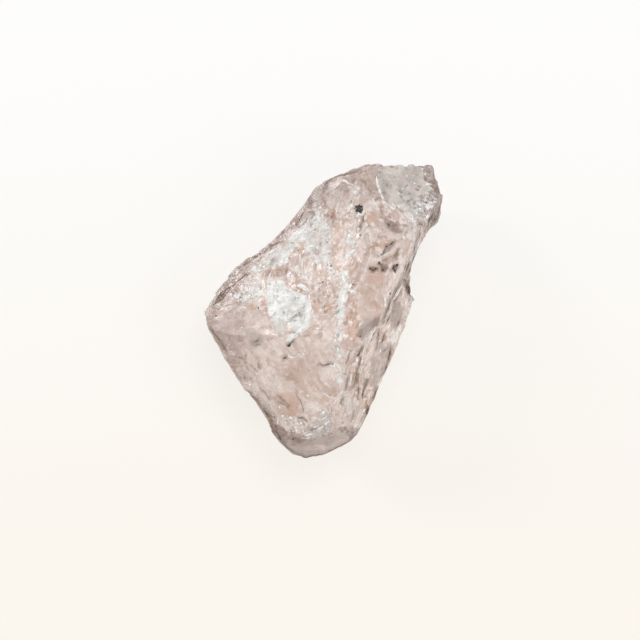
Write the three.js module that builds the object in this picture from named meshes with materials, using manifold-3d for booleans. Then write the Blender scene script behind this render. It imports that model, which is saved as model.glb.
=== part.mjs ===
// A rough piece of morganite, the pink gem beryl, broken from a larger crystal.
// It lies on its broadest break. Lengths are in millimetres and +Z is up.
// The origin is on the resting face, under the middle of the stone.

import * as THREE from "three";
import { mergeVertices } from "three/addons/utils/BufferGeometryUtils.js";
import Module from "manifold-3d";

const wasm = await Module();
wasm.setup();

// ---- Driving sizes ----

const WIDTH = 21.2; // along X, west to east
const LENGTH = 26.3; // along Y, south to north
const HEIGHT = 13.9; // along Z

const BLANK_MARGIN = 1.08; // how much larger the blank is than the stone
const REACH = 19; // half the side of a block that cuts a break
const BLOCK_DEPTH = 22; // how far a cutting block stands out from its break
const BOW_REACH = 6; // how far from a break's middle its swell dies away

const FINE = [0.52, 0.52]; // relief grid of the breaks on top, along and across the grain
const COARSE = [1.1, 1.1]; // relief grid of the walls and undersides
const DRAWN = [2.4, 0.17]; // relief grid of the striated breaks, long in the grain

const MEAN_CHIP = 0.35; // mean of chipDistance, taken off it so that the bowls leave a break level
const LEDGE_SPREAD = { swing: 0.4, wave: 1.7 }; // how the ledges' widths vary across the grain
const LEDGE_DRIFT = { swing: 0.3, wave: 0.35 }; // how the ledges wander along the grain
const LEDGE_RANGE = [0.3, 1.7]; // the lowest and highest ledge, in shares of their height

const PAN_SEGMENTS = [32, 12]; // facets around a scar and from its rim to its middle and back
const PAN_LOBES = [{ waves: 3, share: 0.07 }, { waves: 7, share: 0.05 }]; // how a scar's rim wanders

const radians = THREE.MathUtils.degToRad;

// ---- Breaks ----

// Places are shares of the driving sizes: x and y run from -0.5 to 0.5, z from 0 to 1.
// bearing is the way a break faces, in degrees clockwise from north (+Y).
// slope is how steep it is: 0 faces up, 90 is an upright wall, more than 90 faces down.
// bow is how far its middle swells (+) or sinks (-). grain turns its relief from level.
// flake is [length, width, depth] of the bowls that chips left on it.
// ledge is [pitch, height] of the small steps along its grain.
const TOP = [
  {
    name: "west upper", spot: [-0.07, 0.013, 0.785], bearing: 302.3, slope: 37.5,
    bow: -0.15, grain: 40, flake: [5.2, 3.4, 0.34], cell: FINE,
  },
  {
    name: "west lower", spot: [-0.193, -0.2, 0.665], bearing: 245, slope: 33.2,
    bow: 0.15, grain: 20, flake: [6.2, 4.4, 0.2], cell: FINE,
  },
  {
    name: "crown", spot: [0.077, 0.329, 0.765], bearing: 331.5, slope: 35.2,
    bow: 0.15, grain: 70, flake: [4.6, 3.2, 0.25], cell: FINE,
  },
  {
    name: "north east", spot: [0.368, 0.375, 0.663], bearing: 38.6, slope: 31.1,
    bow: 0, grain: 30, flake: [3.4, 2.6, 0.25], cell: FINE,
  },
  {
    name: "east", spot: [0.245, 0.117, 0.87], bearing: 99.7, slope: 32.9,
    bow: 0.1, grain: 90, flake: [5.2, 3.4, 0.2], cell: FINE,
  },
  {
    name: "crest", spot: [0.09, 0.03, 0.948], bearing: 230, slope: 5,
    bow: 0, grain: 120, flake: [1.7, 1.1, 0.22], cell: FINE,
  },
  {
    name: "dome west", spot: [-0.083, -0.444, 0.542], bearing: 211, slope: 60,
    bow: 1, grain: 0, flake: [7, 5, 0.1], cell: FINE,
  },
  {
    name: "dome south", spot: [0.051, -0.435, 0.561], bearing: 174, slope: 54,
    bow: 0.8, grain: 0, flake: [7, 5, 0.1], cell: FINE,
  },
  {
    name: "dome east", spot: [0.117, -0.376, 0.594], bearing: 140, slope: 62,
    bow: 0.5, grain: 0, flake: [6, 4, 0.1], cell: FINE,
  },
  {
    name: "south east", spot: [0.236, -0.106, 0.727], bearing: 115.8, slope: 61.4,
    bow: 0.1, grain: 20, flake: [9, 1.7, 0.16], ledge: [0.8, 0.09], cell: DRAWN,
  },
  {
    name: "knob flank", spot: [0.395, 0.2475, 0.72], bearing: 108, slope: 66,
    bow: 0, grain: 24, flake: [7, 1.5, 0.14], ledge: [0.75, 0.08], cell: DRAWN,
  },
  {
    name: "north west band", spot: [-0.168, 0.281, 0.52], bearing: 314, slope: 70,
    bow: 0, grain: 8, flake: [6, 1.5, 0.16], ledge: [0.8, 0.09], cell: DRAWN,
  },
];

// Clockwise from the tip.
const WALLS = [
  { name: "tip north", spot: [-0.491, 0.009, 0.42], bearing: 292.8, slope: 104 },
  { name: "west corner", spot: [-0.405, 0.092, 0.42], bearing: 305.8, slope: 100 },
  { name: "north west", spot: [-0.163, 0.289, 0.4], bearing: 315.5, slope: 106 },
  { name: "north", spot: [0.131, 0.464, 0.62], bearing: 348.2, slope: 112 },
  { name: "north peak", spot: [0.295, 0.507, 0.6], bearing: 355, slope: 106 },
  { name: "knob corner", spot: [0.428, 0.501, 0.56], bearing: 22.9, slope: 100 },
  { name: "knob end", spot: [0.495, 0.411, 0.54], bearing: 79.7, slope: 98 },
  { name: "east wall", spot: [0.464, 0.194, 0.5], bearing: 108.2, slope: 99 },
  { name: "east flank", spot: [0.35, -0.073, 0.46], bearing: 108.9, slope: 104 },
  { name: "south east wall", spot: [0.229, -0.288, 0.42], bearing: 112.5, slope: 103 },
  { name: "south corner", spot: [0.125, -0.439, 0.45], bearing: 135, slope: 110, bow: 0.3 },
  { name: "south", spot: [-0.007, -0.479, 0.45], bearing: 164, slope: 114, bow: 0.3 },
  { name: "south west corner", spot: [-0.116, -0.47, 0.45], bearing: 206, slope: 112, bow: 0.3 },
  { name: "south west wall", spot: [-0.214, -0.397, 0.48], bearing: 236.7, slope: 107 },
  { name: "west wall", spot: [-0.36, -0.22, 0.52], bearing: 237, slope: 106, bow: 0.2 },
  { name: "tip south", spot: [-0.48, -0.085, 0.5], bearing: 236, slope: 110 },
];

// Broad chips that undercut the walls.
const FOOT = [
  { name: "west foot", spot: [-0.3, 0, 0.1], bearing: 275, slope: 138, bow: 0.2 },
  { name: "north foot", spot: [0.08, 0.33, 0.1], bearing: 335, slope: 132, bow: 0.2 },
  { name: "east foot", spot: [0.33, 0.05, 0.08], bearing: 96, slope: 128, bow: 0.2 },
  { name: "south foot", spot: [-0.08, -0.36, 0.08], bearing: 200, slope: 136, bow: 0.2 },
];

// What every wall and foot break has, unless its own line says otherwise.
const ROUGH = { bow: 0, grain: 5, flake: [5, 3.2, 0.26], cell: COARSE };

const BREAKS = [...TOP, ...[...WALLS, ...FOOT].map((spec) => ({ ...ROUGH, ...spec }))];

// The direction in which a break faces.
function facing({ bearing, slope }) {
  const [turn, tilt] = [radians(bearing), radians(slope)];
  return new THREE.Vector3(Math.sin(tilt) * Math.sin(turn), Math.sin(tilt) * Math.cos(turn), Math.cos(tilt));
}

const place = ([x, y, z]) => new THREE.Vector3(x * WIDTH, y * LENGTH, z * HEIGHT);

// The placing of something on a break: its X lies along the grain and its Z stands out.
function setOn(spec, point, grain) {
  const out = facing(spec);
  const level = new THREE.Vector3(0, 0, 1).cross(out).normalize();
  const along = level.applyAxisAngle(out, radians(grain));
  const across = new THREE.Vector3().crossVectors(out, along);
  return new THREE.Matrix4().makeBasis(along, across, out).setPosition(point);
}

// A repeatable number from 0 to 1 for two whole numbers and a seed.
// The factors mean nothing: large uneven ones scramble the digits.
function chance(i, j, seed) {
  const wave = Math.sin(i * 127.1 + j * 311.7 + seed * 74.7) * 43758.5453;
  return wave - Math.floor(wave);
}

// The square of the distance to the nearest chip centre, on a grid of one chip a unit.
function chipDistance(u, v, seed) {
  let nearest = Infinity;
  for (let i = Math.floor(u) - 1; i <= Math.floor(u) + 1; i++) {
    for (let j = Math.floor(v) - 1; j <= Math.floor(v) + 1; j++) {
      const du = u - i - chance(i, j, seed);
      const dv = v - j - chance(j, i, seed + 50);
      nearest = Math.min(nearest, du * du + dv * dv);
    }
  }
  return nearest;
}

// How far a break stands out at u along and v across its grain.
function relief({ bow, flake, ledge }, u, v, seed) {
  const [long, wide, depth] = flake;
  const swell = Math.max(1 - (u * u + v * v) / (BOW_REACH * BOW_REACH), -1);
  let out = bow * swell + depth * (chipDistance(u / long, v / wide, seed) - MEAN_CHIP);
  if (ledge) {
    const [pitch, height] = ledge;
    const spread = LEDGE_SPREAD.swing * Math.sin(v * LEDGE_SPREAD.wave);
    const drift = LEDGE_DRIFT.swing * Math.sin(u * LEDGE_DRIFT.wave + seed);
    const count = v / pitch + spread + drift;
    const nearest = Math.floor(count);
    const share = THREE.MathUtils.lerp(...LEDGE_RANGE, chance(nearest, 0, seed));
    out += share * height * (count - nearest - 0.5);
  }
  return out;
}

// ---- Solids ----

function solidOf(geometry) {
  const bare = geometry.clone();
  bare.deleteAttribute("normal");
  bare.deleteAttribute("uv");
  const merged = mergeVertices(bare, 1e-4);
  const mesh = new wasm.Mesh({
    numProp: 3,
    vertProperties: merged.attributes.position.array,
    triVerts: new Uint32Array(merged.index.array),
  });
  return new wasm.Manifold(mesh);
}

// The block that takes away all that lies outside one break. Its underside carries the relief.
function breakBlock(spec, seed) {
  const [stepsAlong, stepsAcross] = spec.cell.map((size) => Math.round((2 * REACH) / size));
  const block = new THREE.BoxGeometry(2 * REACH, 2 * REACH, BLOCK_DEPTH, stepsAlong, stepsAcross, 1);
  block.translate(0, 0, BLOCK_DEPTH / 2);
  const corners = block.attributes.position;
  for (let i = 0; i < corners.count; i++) {
    if (corners.getZ(i) < BLOCK_DEPTH / 2) {
      corners.setZ(i, relief(spec, corners.getX(i), corners.getY(i), seed));
    }
  }
  return solidOf(block.applyMatrix4(setOn(spec, place(spec.spot), spec.grain)));
}

// ---- Scars ----

// Single flakes that sprang off a break, each leaving a shallow pan.
// size is [half length, half width, depth] and turn sets the length from level.
// lean sinks the near end, so that the rim is sharp there and the far end fades out.
const SCARS = [
  { on: "north east", spot: [0.596, 0.49, 0.6], size: [10.4, 8.5, 0.32], turn: 0, lean: 0 },
  { on: "north east", spot: [0.596, 0.49, 0.6], size: [7.8, 7.8, 0.6], turn: 0, lean: 0 },
  { on: "west upper", spot: [-0.135, 0.005, 0.7], size: [3.2, 2.5, 0.36], turn: 70, lean: 5 },
  { on: "west upper", spot: [-0.264, 0.338, 0.5], size: [5.6, 7.2, 0.4], turn: 0, lean: 0 },
  { on: "north west", spot: [-0.148, 0.277, 0.45], size: [4.4, 3.6, 0.68], turn: 0, lean: 0 },
  { on: "south west wall", spot: [-0.248, -0.346, 0.48], size: [2.2, 3, 0.45], turn: 0, lean: 0 },
  { on: "east wall", spot: [0.43, 0.172, 0.4], size: [3.5, 6.4, 1.75], turn: 0, lean: -7 },
];

function scar({ on, spot, size, turn, lean }, seed) {
  const spec = BREAKS.find(({ name }) => name === on);
  const out = facing(spec);
  const centre = place(spot);
  const height = new THREE.Vector3().subVectors(centre, place(spec.spot)).dot(out);
  centre.addScaledVector(out, -height);
  const pan = new THREE.SphereGeometry(1, ...PAN_SEGMENTS).rotateX(Math.PI / 2);
  // the rim wanders in and out of a true oval
  const corners = pan.attributes.position;
  for (let i = 0; i < corners.count; i++) {
    const [x, y] = [corners.getX(i), corners.getY(i)];
    const round = Math.atan2(y, x);
    let lobe = 1;
    PAN_LOBES.forEach(({ waves, share }, index) => {
      lobe += share * Math.sin(waves * round + (index + 1) * seed);
    });
    corners.setXY(i, x * lobe, y * lobe);
  }
  pan.scale(...size).rotateY(radians(lean));
  return solidOf(pan.applyMatrix4(setOn(spec, centre, turn)));
}

// ---- The stone ----

function stone() {
  const [wide, long, high] = [WIDTH, LENGTH, HEIGHT].map((side) => side * BLANK_MARGIN);
  // the underside of the blank stays as the resting face
  let solid = solidOf(new THREE.BoxGeometry(wide, long, high).translate(0, 0, high / 2));
  BREAKS.forEach((spec, index) => {
    solid = solid.subtract(breakBlock(spec, index));
  });
  SCARS.forEach((spec, index) => {
    solid = solid.subtract(scar(spec, index));
  });
  const { min, max } = solid.boundingBox();
  return solid.translate(-(min[0] + max[0]) / 2, -(min[1] + max[1]) / 2, 0);
}

function geometryOf(solid) {
  const { numProp, vertProperties, triVerts } = solid.getMesh();
  const places = new Float32Array((vertProperties.length / numProp) * 3);
  for (let i = 0; i < places.length / 3; i++) {
    places.set(vertProperties.subarray(i * numProp, i * numProp + 3), i * 3);
  }
  const geometry = new THREE.BufferGeometry();
  geometry.setAttribute("position", new THREE.BufferAttribute(places, 3));
  geometry.setIndex(new THREE.BufferAttribute(triVerts, 1));
  geometry.computeVertexNormals();
  return geometry;
}

const morganite = new THREE.MeshStandardMaterial({
  color: 0xd6bfb5,
  roughness: 0.25,
  metalness: 0,
  flatShading: true,
  transparent: true,
  opacity: 0.8,
});

const specimen = new THREE.Group();
const crystal = new THREE.Mesh(geometryOf(stone()), morganite);
crystal.name = "crystal";
specimen.add(crystal);

export default specimen;
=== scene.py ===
# %% [markdown]
# # A rough piece of morganite
# Morganite is the pink kind of beryl. This piece broke out of a larger crystal, so it has no crystal faces of its
# own. Breaks bound it: some curved and chipped like thick glass, some drawn out into long steps. It is clear inside,
# and all its character comes from flaws: chips, crushed ridges, silvery inner cracks and dark grains.
# A CAD program made the solid. This lesson loads it and gives it the finer shape and the look of the real thing.

# %% Load the solid
import math
from functools import partial

import bmesh
import bpy
import numpy as np
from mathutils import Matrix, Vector, geometry, noise
from mathutils.bvhtree import BVHTree


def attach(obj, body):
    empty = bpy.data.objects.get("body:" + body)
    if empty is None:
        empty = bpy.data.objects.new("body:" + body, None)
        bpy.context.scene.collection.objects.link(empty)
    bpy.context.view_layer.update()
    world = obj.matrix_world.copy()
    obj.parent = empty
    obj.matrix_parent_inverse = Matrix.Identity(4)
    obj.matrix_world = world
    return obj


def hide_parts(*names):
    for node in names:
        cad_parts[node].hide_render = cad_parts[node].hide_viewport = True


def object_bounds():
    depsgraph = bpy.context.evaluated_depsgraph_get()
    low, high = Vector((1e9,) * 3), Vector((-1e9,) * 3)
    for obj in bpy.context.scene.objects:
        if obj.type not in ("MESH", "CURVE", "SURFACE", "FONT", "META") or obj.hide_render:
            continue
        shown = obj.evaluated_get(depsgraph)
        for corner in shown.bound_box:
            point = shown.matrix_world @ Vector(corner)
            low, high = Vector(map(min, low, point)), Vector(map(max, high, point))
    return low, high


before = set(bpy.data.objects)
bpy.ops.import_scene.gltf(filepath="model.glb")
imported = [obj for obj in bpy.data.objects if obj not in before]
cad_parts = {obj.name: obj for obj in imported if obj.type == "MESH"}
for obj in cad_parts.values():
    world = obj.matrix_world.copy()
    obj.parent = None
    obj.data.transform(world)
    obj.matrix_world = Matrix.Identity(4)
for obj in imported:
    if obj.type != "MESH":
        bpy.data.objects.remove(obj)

MM = 0.001
scene = bpy.context.scene
cad_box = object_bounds()
print("solid's box in mm:", [[round(side / MM, 2) for side in corner] for corner in cad_box])

# %% [markdown]
# ## The camera
# The stone lies on its back and is seen from straight above, with its long side up the picture. A long lens keeps the
# perspective weak, as in product pictures. The distance follows from how wide a strip the picture should show at the
# height where the stone is broadest.

# %% Camera
VIEW_WIDTH = 56.8  # mm
VIEW_CENTRE = (-0.22, -0.75)  # mm
BROADEST_HEIGHT = 6.6  # mm
LENS = 100
SENSOR = 36
EYE = Vector((*VIEW_CENTRE, BROADEST_HEIGHT + VIEW_WIDTH * LENS / SENSOR))


def look_down():
    camera_data = bpy.data.cameras.new("camera")
    camera_data.lens = LENS
    camera_data.sensor_width = SENSOR
    camera_data.clip_start = 0.01
    camera = bpy.data.objects.new("camera", camera_data)
    camera.location = EYE * MM
    scene.collection.objects.link(camera)
    scene.camera = camera


look_down()
print("camera height in mm:", round(EYE.z, 1))

# %% [markdown]
# ## Node trees
# Materials and Geometry Nodes are both trees of nodes. One helper adds a node, sets its options, and gives each named
# input either a value or a link. Some nodes hold several inputs of one name, of which only one is switched on, so the
# helper looks for that one.

# %% Node helpers


def socket(sockets, name):
    if isinstance(name, int):
        return sockets[name]
    return next(one for one in sockets if one.enabled and one.name == name)


def add(tree, kind, inputs=None, **settings):
    node = tree.nodes.new(kind)
    for name, value in settings.items():
        setattr(node, name, value)
    for name, value in (inputs or {}).items():
        if isinstance(value, bpy.types.NodeSocket):
            tree.links.new(value, socket(node.inputs, name))
        else:
            socket(node.inputs, name).default_value = value
    return node


def math_of(tree, operation, a, b=0.0, clamp=False):
    return add(tree, "ShaderNodeMath", {0: a, 1: b}, operation=operation, use_clamp=clamp).outputs[0]


def vector_of(tree, operation, a, b=(0, 0, 0), scale=None):
    inputs = {0: a} if operation == "SCALE" else {0: a, 1: b}
    if scale is not None:
        inputs["Scale"] = scale
    node = add(tree, "ShaderNodeVectorMath", inputs, operation=operation)
    return node.outputs["Value"] if operation == "DOT_PRODUCT" else node.outputs["Vector"]


def blend(tree, share, under, over):
    node = add(
        tree, "ShaderNodeMix", {"Factor": share, "A": under, "B": over}, data_type="RGBA", clamp_factor=True
    )
    return socket(node.outputs, "Result")


def remap(tree, value, low, high, to_low=0.0, to_high=1.0):
    inputs = {"Value": value, "From Min": low, "From Max": high, "To Min": to_low, "To Max": to_high}
    return add(tree, "ShaderNodeMapRange", inputs, interpolation_type="SMOOTHSTEP").outputs["Result"]


# %% [markdown]
# ## Floor and light
# A clear stone on a plain floor lies in its own shade and looks dull. So it lies on a product table: a pale sheet
# that also glows a little from below, which softens the shadow and sends light up through the stone. Two softboxes
# stand low at the sides and a third one high. The breaks lean 30 degrees or so, and seen from above they mirror what
# stands low round the stone, so that is where lights have to be to make them glint. The sheet turns a little creamier
# towards the bottom of the picture.

# %% Floor and light
FLOOR_SIDE = 3.0  # m
FLOOR_WHITE = (0.99, 0.985, 0.98, 1)
FLOOR_CREAM = (0.98, 0.94, 0.87, 1)
FLOOR_GLOW = 0.78
FLOOR_MATT = 0.18  # share of its colour that the sheet throws back
FLOOR_FADE = 30 * MM  # from the middle to where it is all white or all cream
LIGHT_BOUNCES = 24  # enough for light to find its way out of the stone


def lay_floor():
    bpy.ops.mesh.primitive_plane_add(size=FLOOR_SIDE)
    floor = bpy.context.object
    floor.name = "floor"
    paper = bpy.data.materials.new("paper")
    paper.use_nodes = True
    tree = paper.node_tree
    place = add(tree, "ShaderNodeTexCoord").outputs["Object"]
    north = add(tree, "ShaderNodeSeparateXYZ", {"Vector": place}).outputs["Y"]
    tone = blend(tree, remap(tree, north, FLOOR_FADE, -FLOOR_FADE), FLOOR_WHITE, FLOOR_CREAM)
    shader = tree.nodes["Principled BSDF"]
    tree.links.new(vector_of(tree, "SCALE", tone, scale=FLOOR_MATT), shader.inputs["Base Color"])
    tree.links.new(tone, shader.inputs["Emission Color"])
    shader.inputs["Emission Strength"].default_value = FLOOR_GLOW
    shader.inputs["Roughness"].default_value = 0.9
    floor.data.materials.append(paper)


def light_world(strength):
    world = bpy.data.worlds.new("studio")
    world.use_nodes = True
    world.node_tree.nodes["Background"].inputs["Color"].default_value = (1, 0.99, 0.98, 1)
    world.node_tree.nodes["Background"].inputs["Strength"].default_value = strength
    scene.world = world


def softbox(name, bearing, height, distance, side, power):
    """A square light. bearing is clockwise from +Y and height is above the floor, both in degrees."""
    light = bpy.data.lights.new(name, "AREA")
    light.shape = "SQUARE"
    light.size = side
    light.energy = power
    turn, rise = math.radians(bearing), math.radians(height)
    way = Vector((math.sin(turn) * math.cos(rise), math.cos(turn) * math.cos(rise), math.sin(rise)))
    lamp = bpy.data.objects.new(name, light)
    lamp.location = way * distance
    lamp.rotation_euler = way.to_track_quat("Z", "Y").to_euler()
    scene.collection.objects.link(lamp)


lay_floor()
light_world(0.5)
softbox("key", bearing=300, height=30, distance=0.6, side=0.18, power=1.1)
softbox("fill", bearing=110, height=40, distance=0.6, side=0.22, power=0.6)
softbox("top", bearing=20, height=66, distance=0.7, side=0.4, power=1.9)
scene.view_settings.view_transform = "Standard"
scene.cycles.max_bounces = LIGHT_BOUNCES
scene.cycles.transmission_bounces = LIGHT_BOUNCES
scene.cycles.transparent_max_bounces = LIGHT_BOUNCES

# %% [markdown]
# ## An even skin
# The solid's triangles are large and uneven, too coarse for chips a third of a millimetre wide. A voxel remesh turns
# a copy of the solid into even small quads. It rounds each edge by about one quad, which is how a real broken edge
# looks from close by. Sculpting by hand would give the same freedom, but a rule in code can be changed and run again.

# %% Even skin
SKIN_CELL = 0.13 * MM


def plain(thing):
    """The object's mesh with its modifiers worked in, and the modifiers gone."""
    depsgraph = bpy.context.evaluated_depsgraph_get()
    mesh = bpy.data.meshes.new_from_object(thing.evaluated_get(depsgraph))
    thing.modifiers.clear()
    thing.data = mesh
    return mesh


def piece(name, mesh):
    thing = bpy.data.objects.new(name, mesh)
    scene.collection.objects.link(thing)
    return thing


def even_skin(node):
    mesh = node.data.copy()
    mesh.materials.clear()
    work = bmesh.new()
    work.from_mesh(mesh)
    bmesh.ops.remove_doubles(work, verts=work.verts, dist=0.0001 * MM)
    work.to_mesh(mesh)
    work.free()
    skin = piece("morganite", mesh)
    remesh = skin.modifiers.new("even", "REMESH")
    remesh.mode = "VOXEL"
    remesh.voxel_size = SKIN_CELL
    plain(skin)
    return skin


def places(mesh):
    """The mesh's points as rows of x, y, z in mm."""
    flat = np.zeros(len(mesh.vertices) * 3, np.float32)
    mesh.vertices.foreach_get("co", flat)
    return flat.reshape(-1, 3).astype(float) / MM


def keep(mesh, name, values):
    """Stores one number or one vector for each point of the mesh."""
    kind = "FLOAT" if values.ndim == 1 else "FLOAT_VECTOR"
    attribute = mesh.attributes.new(name, kind, "POINT")
    attribute.data.foreach_set("value" if values.ndim == 1 else "vector", values.astype(np.float32).ravel())


stone = even_skin(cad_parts["crystal"])
points = places(stone.data)
print("skin:", len(points), "points,", len(stone.data.polygons), "quads")

# %% [markdown]
# ## The breaks
# Each break on top is close to a plane, known by the way it faces and one point on it. A point of the skin belongs to
# the break whose plane it lies nearest. Knowing the break, each part of the skin can get the chips it has on the real
# stone: large and shallow ones on the smooth breaks, small steep ones on the rough, long ones where it is drawn out.

# %% Breaks
# name: bearing and slope in degrees, a point on it in mm
BREAKS = {
    "west upper": (302.3, 37.5, (-1.6, 0.4, 10.9)),
    "west lower": (245, 33.2, (-4.2, -5.2, 9.2)),
    "crown": (331.5, 35.2, (1.5, 8.8, 10.6)),
    "north east": (38.6, 31.1, (7.7, 10.0, 9.2)),
    "east": (99.7, 32.9, (5.0, 3.2, 12.1)),
    "crest": (230, 5, (1.8, 0.9, 13.2)),
    "dome west": (211, 60, (-1.9, -11.6, 7.5)),
    "dome south": (174, 54, (0.9, -11.3, 7.8)),
    "dome east": (140, 62, (2.3, -9.8, 8.3)),
    "south east": (115.8, 61.4, (4.9, -2.7, 10.1)),
    "knob flank": (108, 66, (8.2, 6.6, 10.0)),
    "north west band": (314, 70, (-3.7, 7.5, 7.2)),
}
NAMES = [*BREAKS, "wall", "under"]
NEAR = 1.0  # a point further than this below every break on top is on a wall
UNDER = 0.3  # a point lower than this is on the resting face


def facing(bearing, slope):
    turn, tilt = math.radians(bearing), math.radians(slope)
    return Vector((math.sin(tilt) * math.sin(turn), math.sin(tilt) * math.cos(turn), math.cos(tilt)))


def owners(points):
    """For each point, the index in NAMES of the break it lies on, and how far in mm it is from the next one."""
    heights = np.array([(points - np.array(spot)) @ np.array(facing(*way)) for *way, spot in BREAKS.values()])
    second, best = np.sort(heights, axis=0)[-2:]
    owner = np.argmax(heights, axis=0)
    owner[best < -NEAR] = NAMES.index("wall")
    owner[points[:, 2] < UNDER] = NAMES.index("under")
    margin = np.where(best < -NEAR, -NEAR - best, np.minimum(best - second, best + NEAR))
    return owner, np.minimum(margin, abs(points[:, 2] - UNDER))


owner, margin = owners(points)
print({name: int((owner == index).sum()) for index, name in enumerate(NAMES)})

# %% [markdown]
# ## Chips
# A break is covered with chips: small facets, each leaning its own way, with a sharp step where two meet. Voronoi
# cells do just that. Inside a cell the surface rises along a random direction of the cell's own, so every cell
# becomes a tilted facet. The texture is read in a space of its own, stretched along the grain where a break is drawn
# out, and that space is worked out here, one value for each point. Chips die down towards the edge of their break, so
# that the edges stay clean, and in the patches that broke smoother. A Geometry Nodes tree then moves the skin.

# %% Chip space
# name: length and width of a chip in mm, its lean (rise for each mm), the grain's turn from level in degrees
CHIPS = {
    "west upper": (1.9, 1.2, 0.14, 40),
    "west lower": (4.5, 1.6, 0.09, 20),
    "crown": (1.9, 1.3, 0.22, 70),
    "north east": (1.5, 1.1, 0.16, 30),
    "east": (2.8, 1.7, 0.10, 90),
    "crest": (0.9, 0.7, 0.25, 120),
    "dome west": (3.6, 2.6, 0.05, 0),
    "dome south": (3.6, 2.6, 0.05, 0),
    "dome east": (3.0, 2.4, 0.06, 0),
    "south east": (5.5, 0.55, 0.30, 20),
    "knob flank": (5.0, 0.50, 0.26, 24),
    "north west band": (4.0, 0.55, 0.14, 8),
    "wall": (2.2, 1.6, 0.06, 0),
    "under": (1.8, 1.5, 0.14, 0),
}
EDGE_WIDTH = 0.4  # mm
EDGE_SHARE = 0.2  # of a chip's rise, kept right at the edge of its break
BREAKS_APART = 7.3  # chips, far enough for each break to have its own
DRAWN_OUT = 5  # chips this many times longer than wide make a drawn-out break
PATCH_CORE = 0.7  # a patch is as smooth as it gets out to this share of its half width and half length,
PATCH_FADE = 0.4  # and all the chips are back this much further out
# what broke smoother: its middle in plan, half width and half length in mm, the share of the chips it keeps
SMOOTH_PATCHES = [
    ("south of the tip", (-7.4, -1.4), 3.4, 2.2, 0.3),
    ("east break", (4.3, 1.0), 1.3, 2.6, 0.35),
    ("east break, north end", (3.2, 4.2), 1.1, 1.7, 0.5),
    ("west of the crest", (1.1, 5.3), 0.9, 1.7, 0.4),
    ("orange patch", (-3.2, -8.2), 1.3, 1.2, 0.3),
    ("crown", (2.2, 10.7), 2.8, 2.0, 0.5),
    ("west lower break", (-3.2, -5.2), 5.2, 2.9, 0.55),
    ("above the dome", (-2.4, -10.0), 1.3, 0.8, 0.4),
    ("dome", (-0.5, -12.0), 4.0, 1.3, 0.35),
]


def liveliness(points):
    """The share of its chips that each point keeps: all of them, but for the smooth patches."""
    lively = np.ones(len(points))
    for _, (x, y), half_width, half_length, share in SMOOTH_PATCHES:
        away = np.hypot((points[:, 0] - x) / half_width, (points[:, 1] - y) / half_length)
        lively = np.minimum(lively, np.clip((away - PATCH_CORE) / PATCH_FADE, share, 1))
    return lively


def chip_space(points, owner, margin):
    """Each point in chips rather than mm, and how far a chip may rise there in metres."""
    space = np.zeros_like(points)
    rise = np.zeros(len(points))
    for index, name in enumerate(NAMES):
        mine = owner == index
        long, wide, lean, grain = CHIPS[name]
        out = facing(*BREAKS[name][:2]) if name in BREAKS else Vector((0, 0, 1))
        level = Vector((0, 0, 1)).cross(out)
        level = level.normalized() if level.length > 0.01 else Vector((1, 0, 0))
        along = level * math.cos(math.radians(grain)) + out.cross(level) * math.sin(math.radians(grain))
        across = out.cross(along)
        thick = wide if name in BREAKS else long
        space[mine] = np.stack(
            [points[mine] @ np.array(along) / long, points[mine] @ np.array(across) / wide,
             points[mine] @ np.array(out) / thick + BREAKS_APART * index], axis=1)
        rise[mine] = lean * wide * MM
    calm = np.clip(margin / EDGE_WIDTH, EDGE_SHARE, 1)
    return space, rise * calm * liveliness(points)


def drawn_out_breaks(owner):
    """1 on the breaks whose chips are several times longer than wide, and 0 on the others."""
    slim = [CHIPS[name][0] > DRAWN_OUT * CHIPS[name][1] for name in NAMES]
    return np.array(slim, float)[owner]


space, rise = chip_space(points, owner, margin)
keep(stone.data, "drawn", drawn_out_breaks(owner))
keep(stone.data, "lively", liveliness(points))
keep(stone.data, "chip_space", space)
keep(stone.data, "chip_rise", rise)
print("deepest chips in mm:", round(float(rise.max() / MM), 2))

# %% Chips by Geometry Nodes
CHIP_EDGE = (0.09, 0.02)  # how far from a chip's border, in chips, its worn edge begins and is whole


def new_tree(name, inputs):
    """A Geometry Nodes tree with a geometry in and out and the named number inputs."""
    tree = bpy.data.node_groups.new(name, "GeometryNodeTree")
    tree.interface.new_socket("Geometry", in_out="INPUT", socket_type="NodeSocketGeometry")
    for label, value in inputs.items():
        kind = "NodeSocketMaterial" if isinstance(value, bpy.types.Material) else "NodeSocketFloat"
        tree.interface.new_socket(label, in_out="INPUT", socket_type=kind)
    tree.interface.new_socket("Geometry", in_out="OUTPUT", socket_type="NodeSocketGeometry")
    return tree, tree.nodes.new("NodeGroupInput").outputs, tree.nodes.new("NodeGroupOutput").inputs


def run_tree(thing, tree, inputs):
    """Runs the tree on the object once and leaves a plain mesh."""
    modifier = thing.modifiers.new(tree.name, "NODES")
    modifier.node_group = tree
    for item in tree.interface.items_tree:
        if item.in_out == "INPUT" and item.name in inputs:
            modifier[item.identifier] = inputs[item.name]
    return plain(thing)


def attribute_of(tree, name, kind="FLOAT"):
    return add(tree, "GeometryNodeInputNamedAttribute", {"Name": name}, data_type=kind).outputs["Attribute"]


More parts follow.
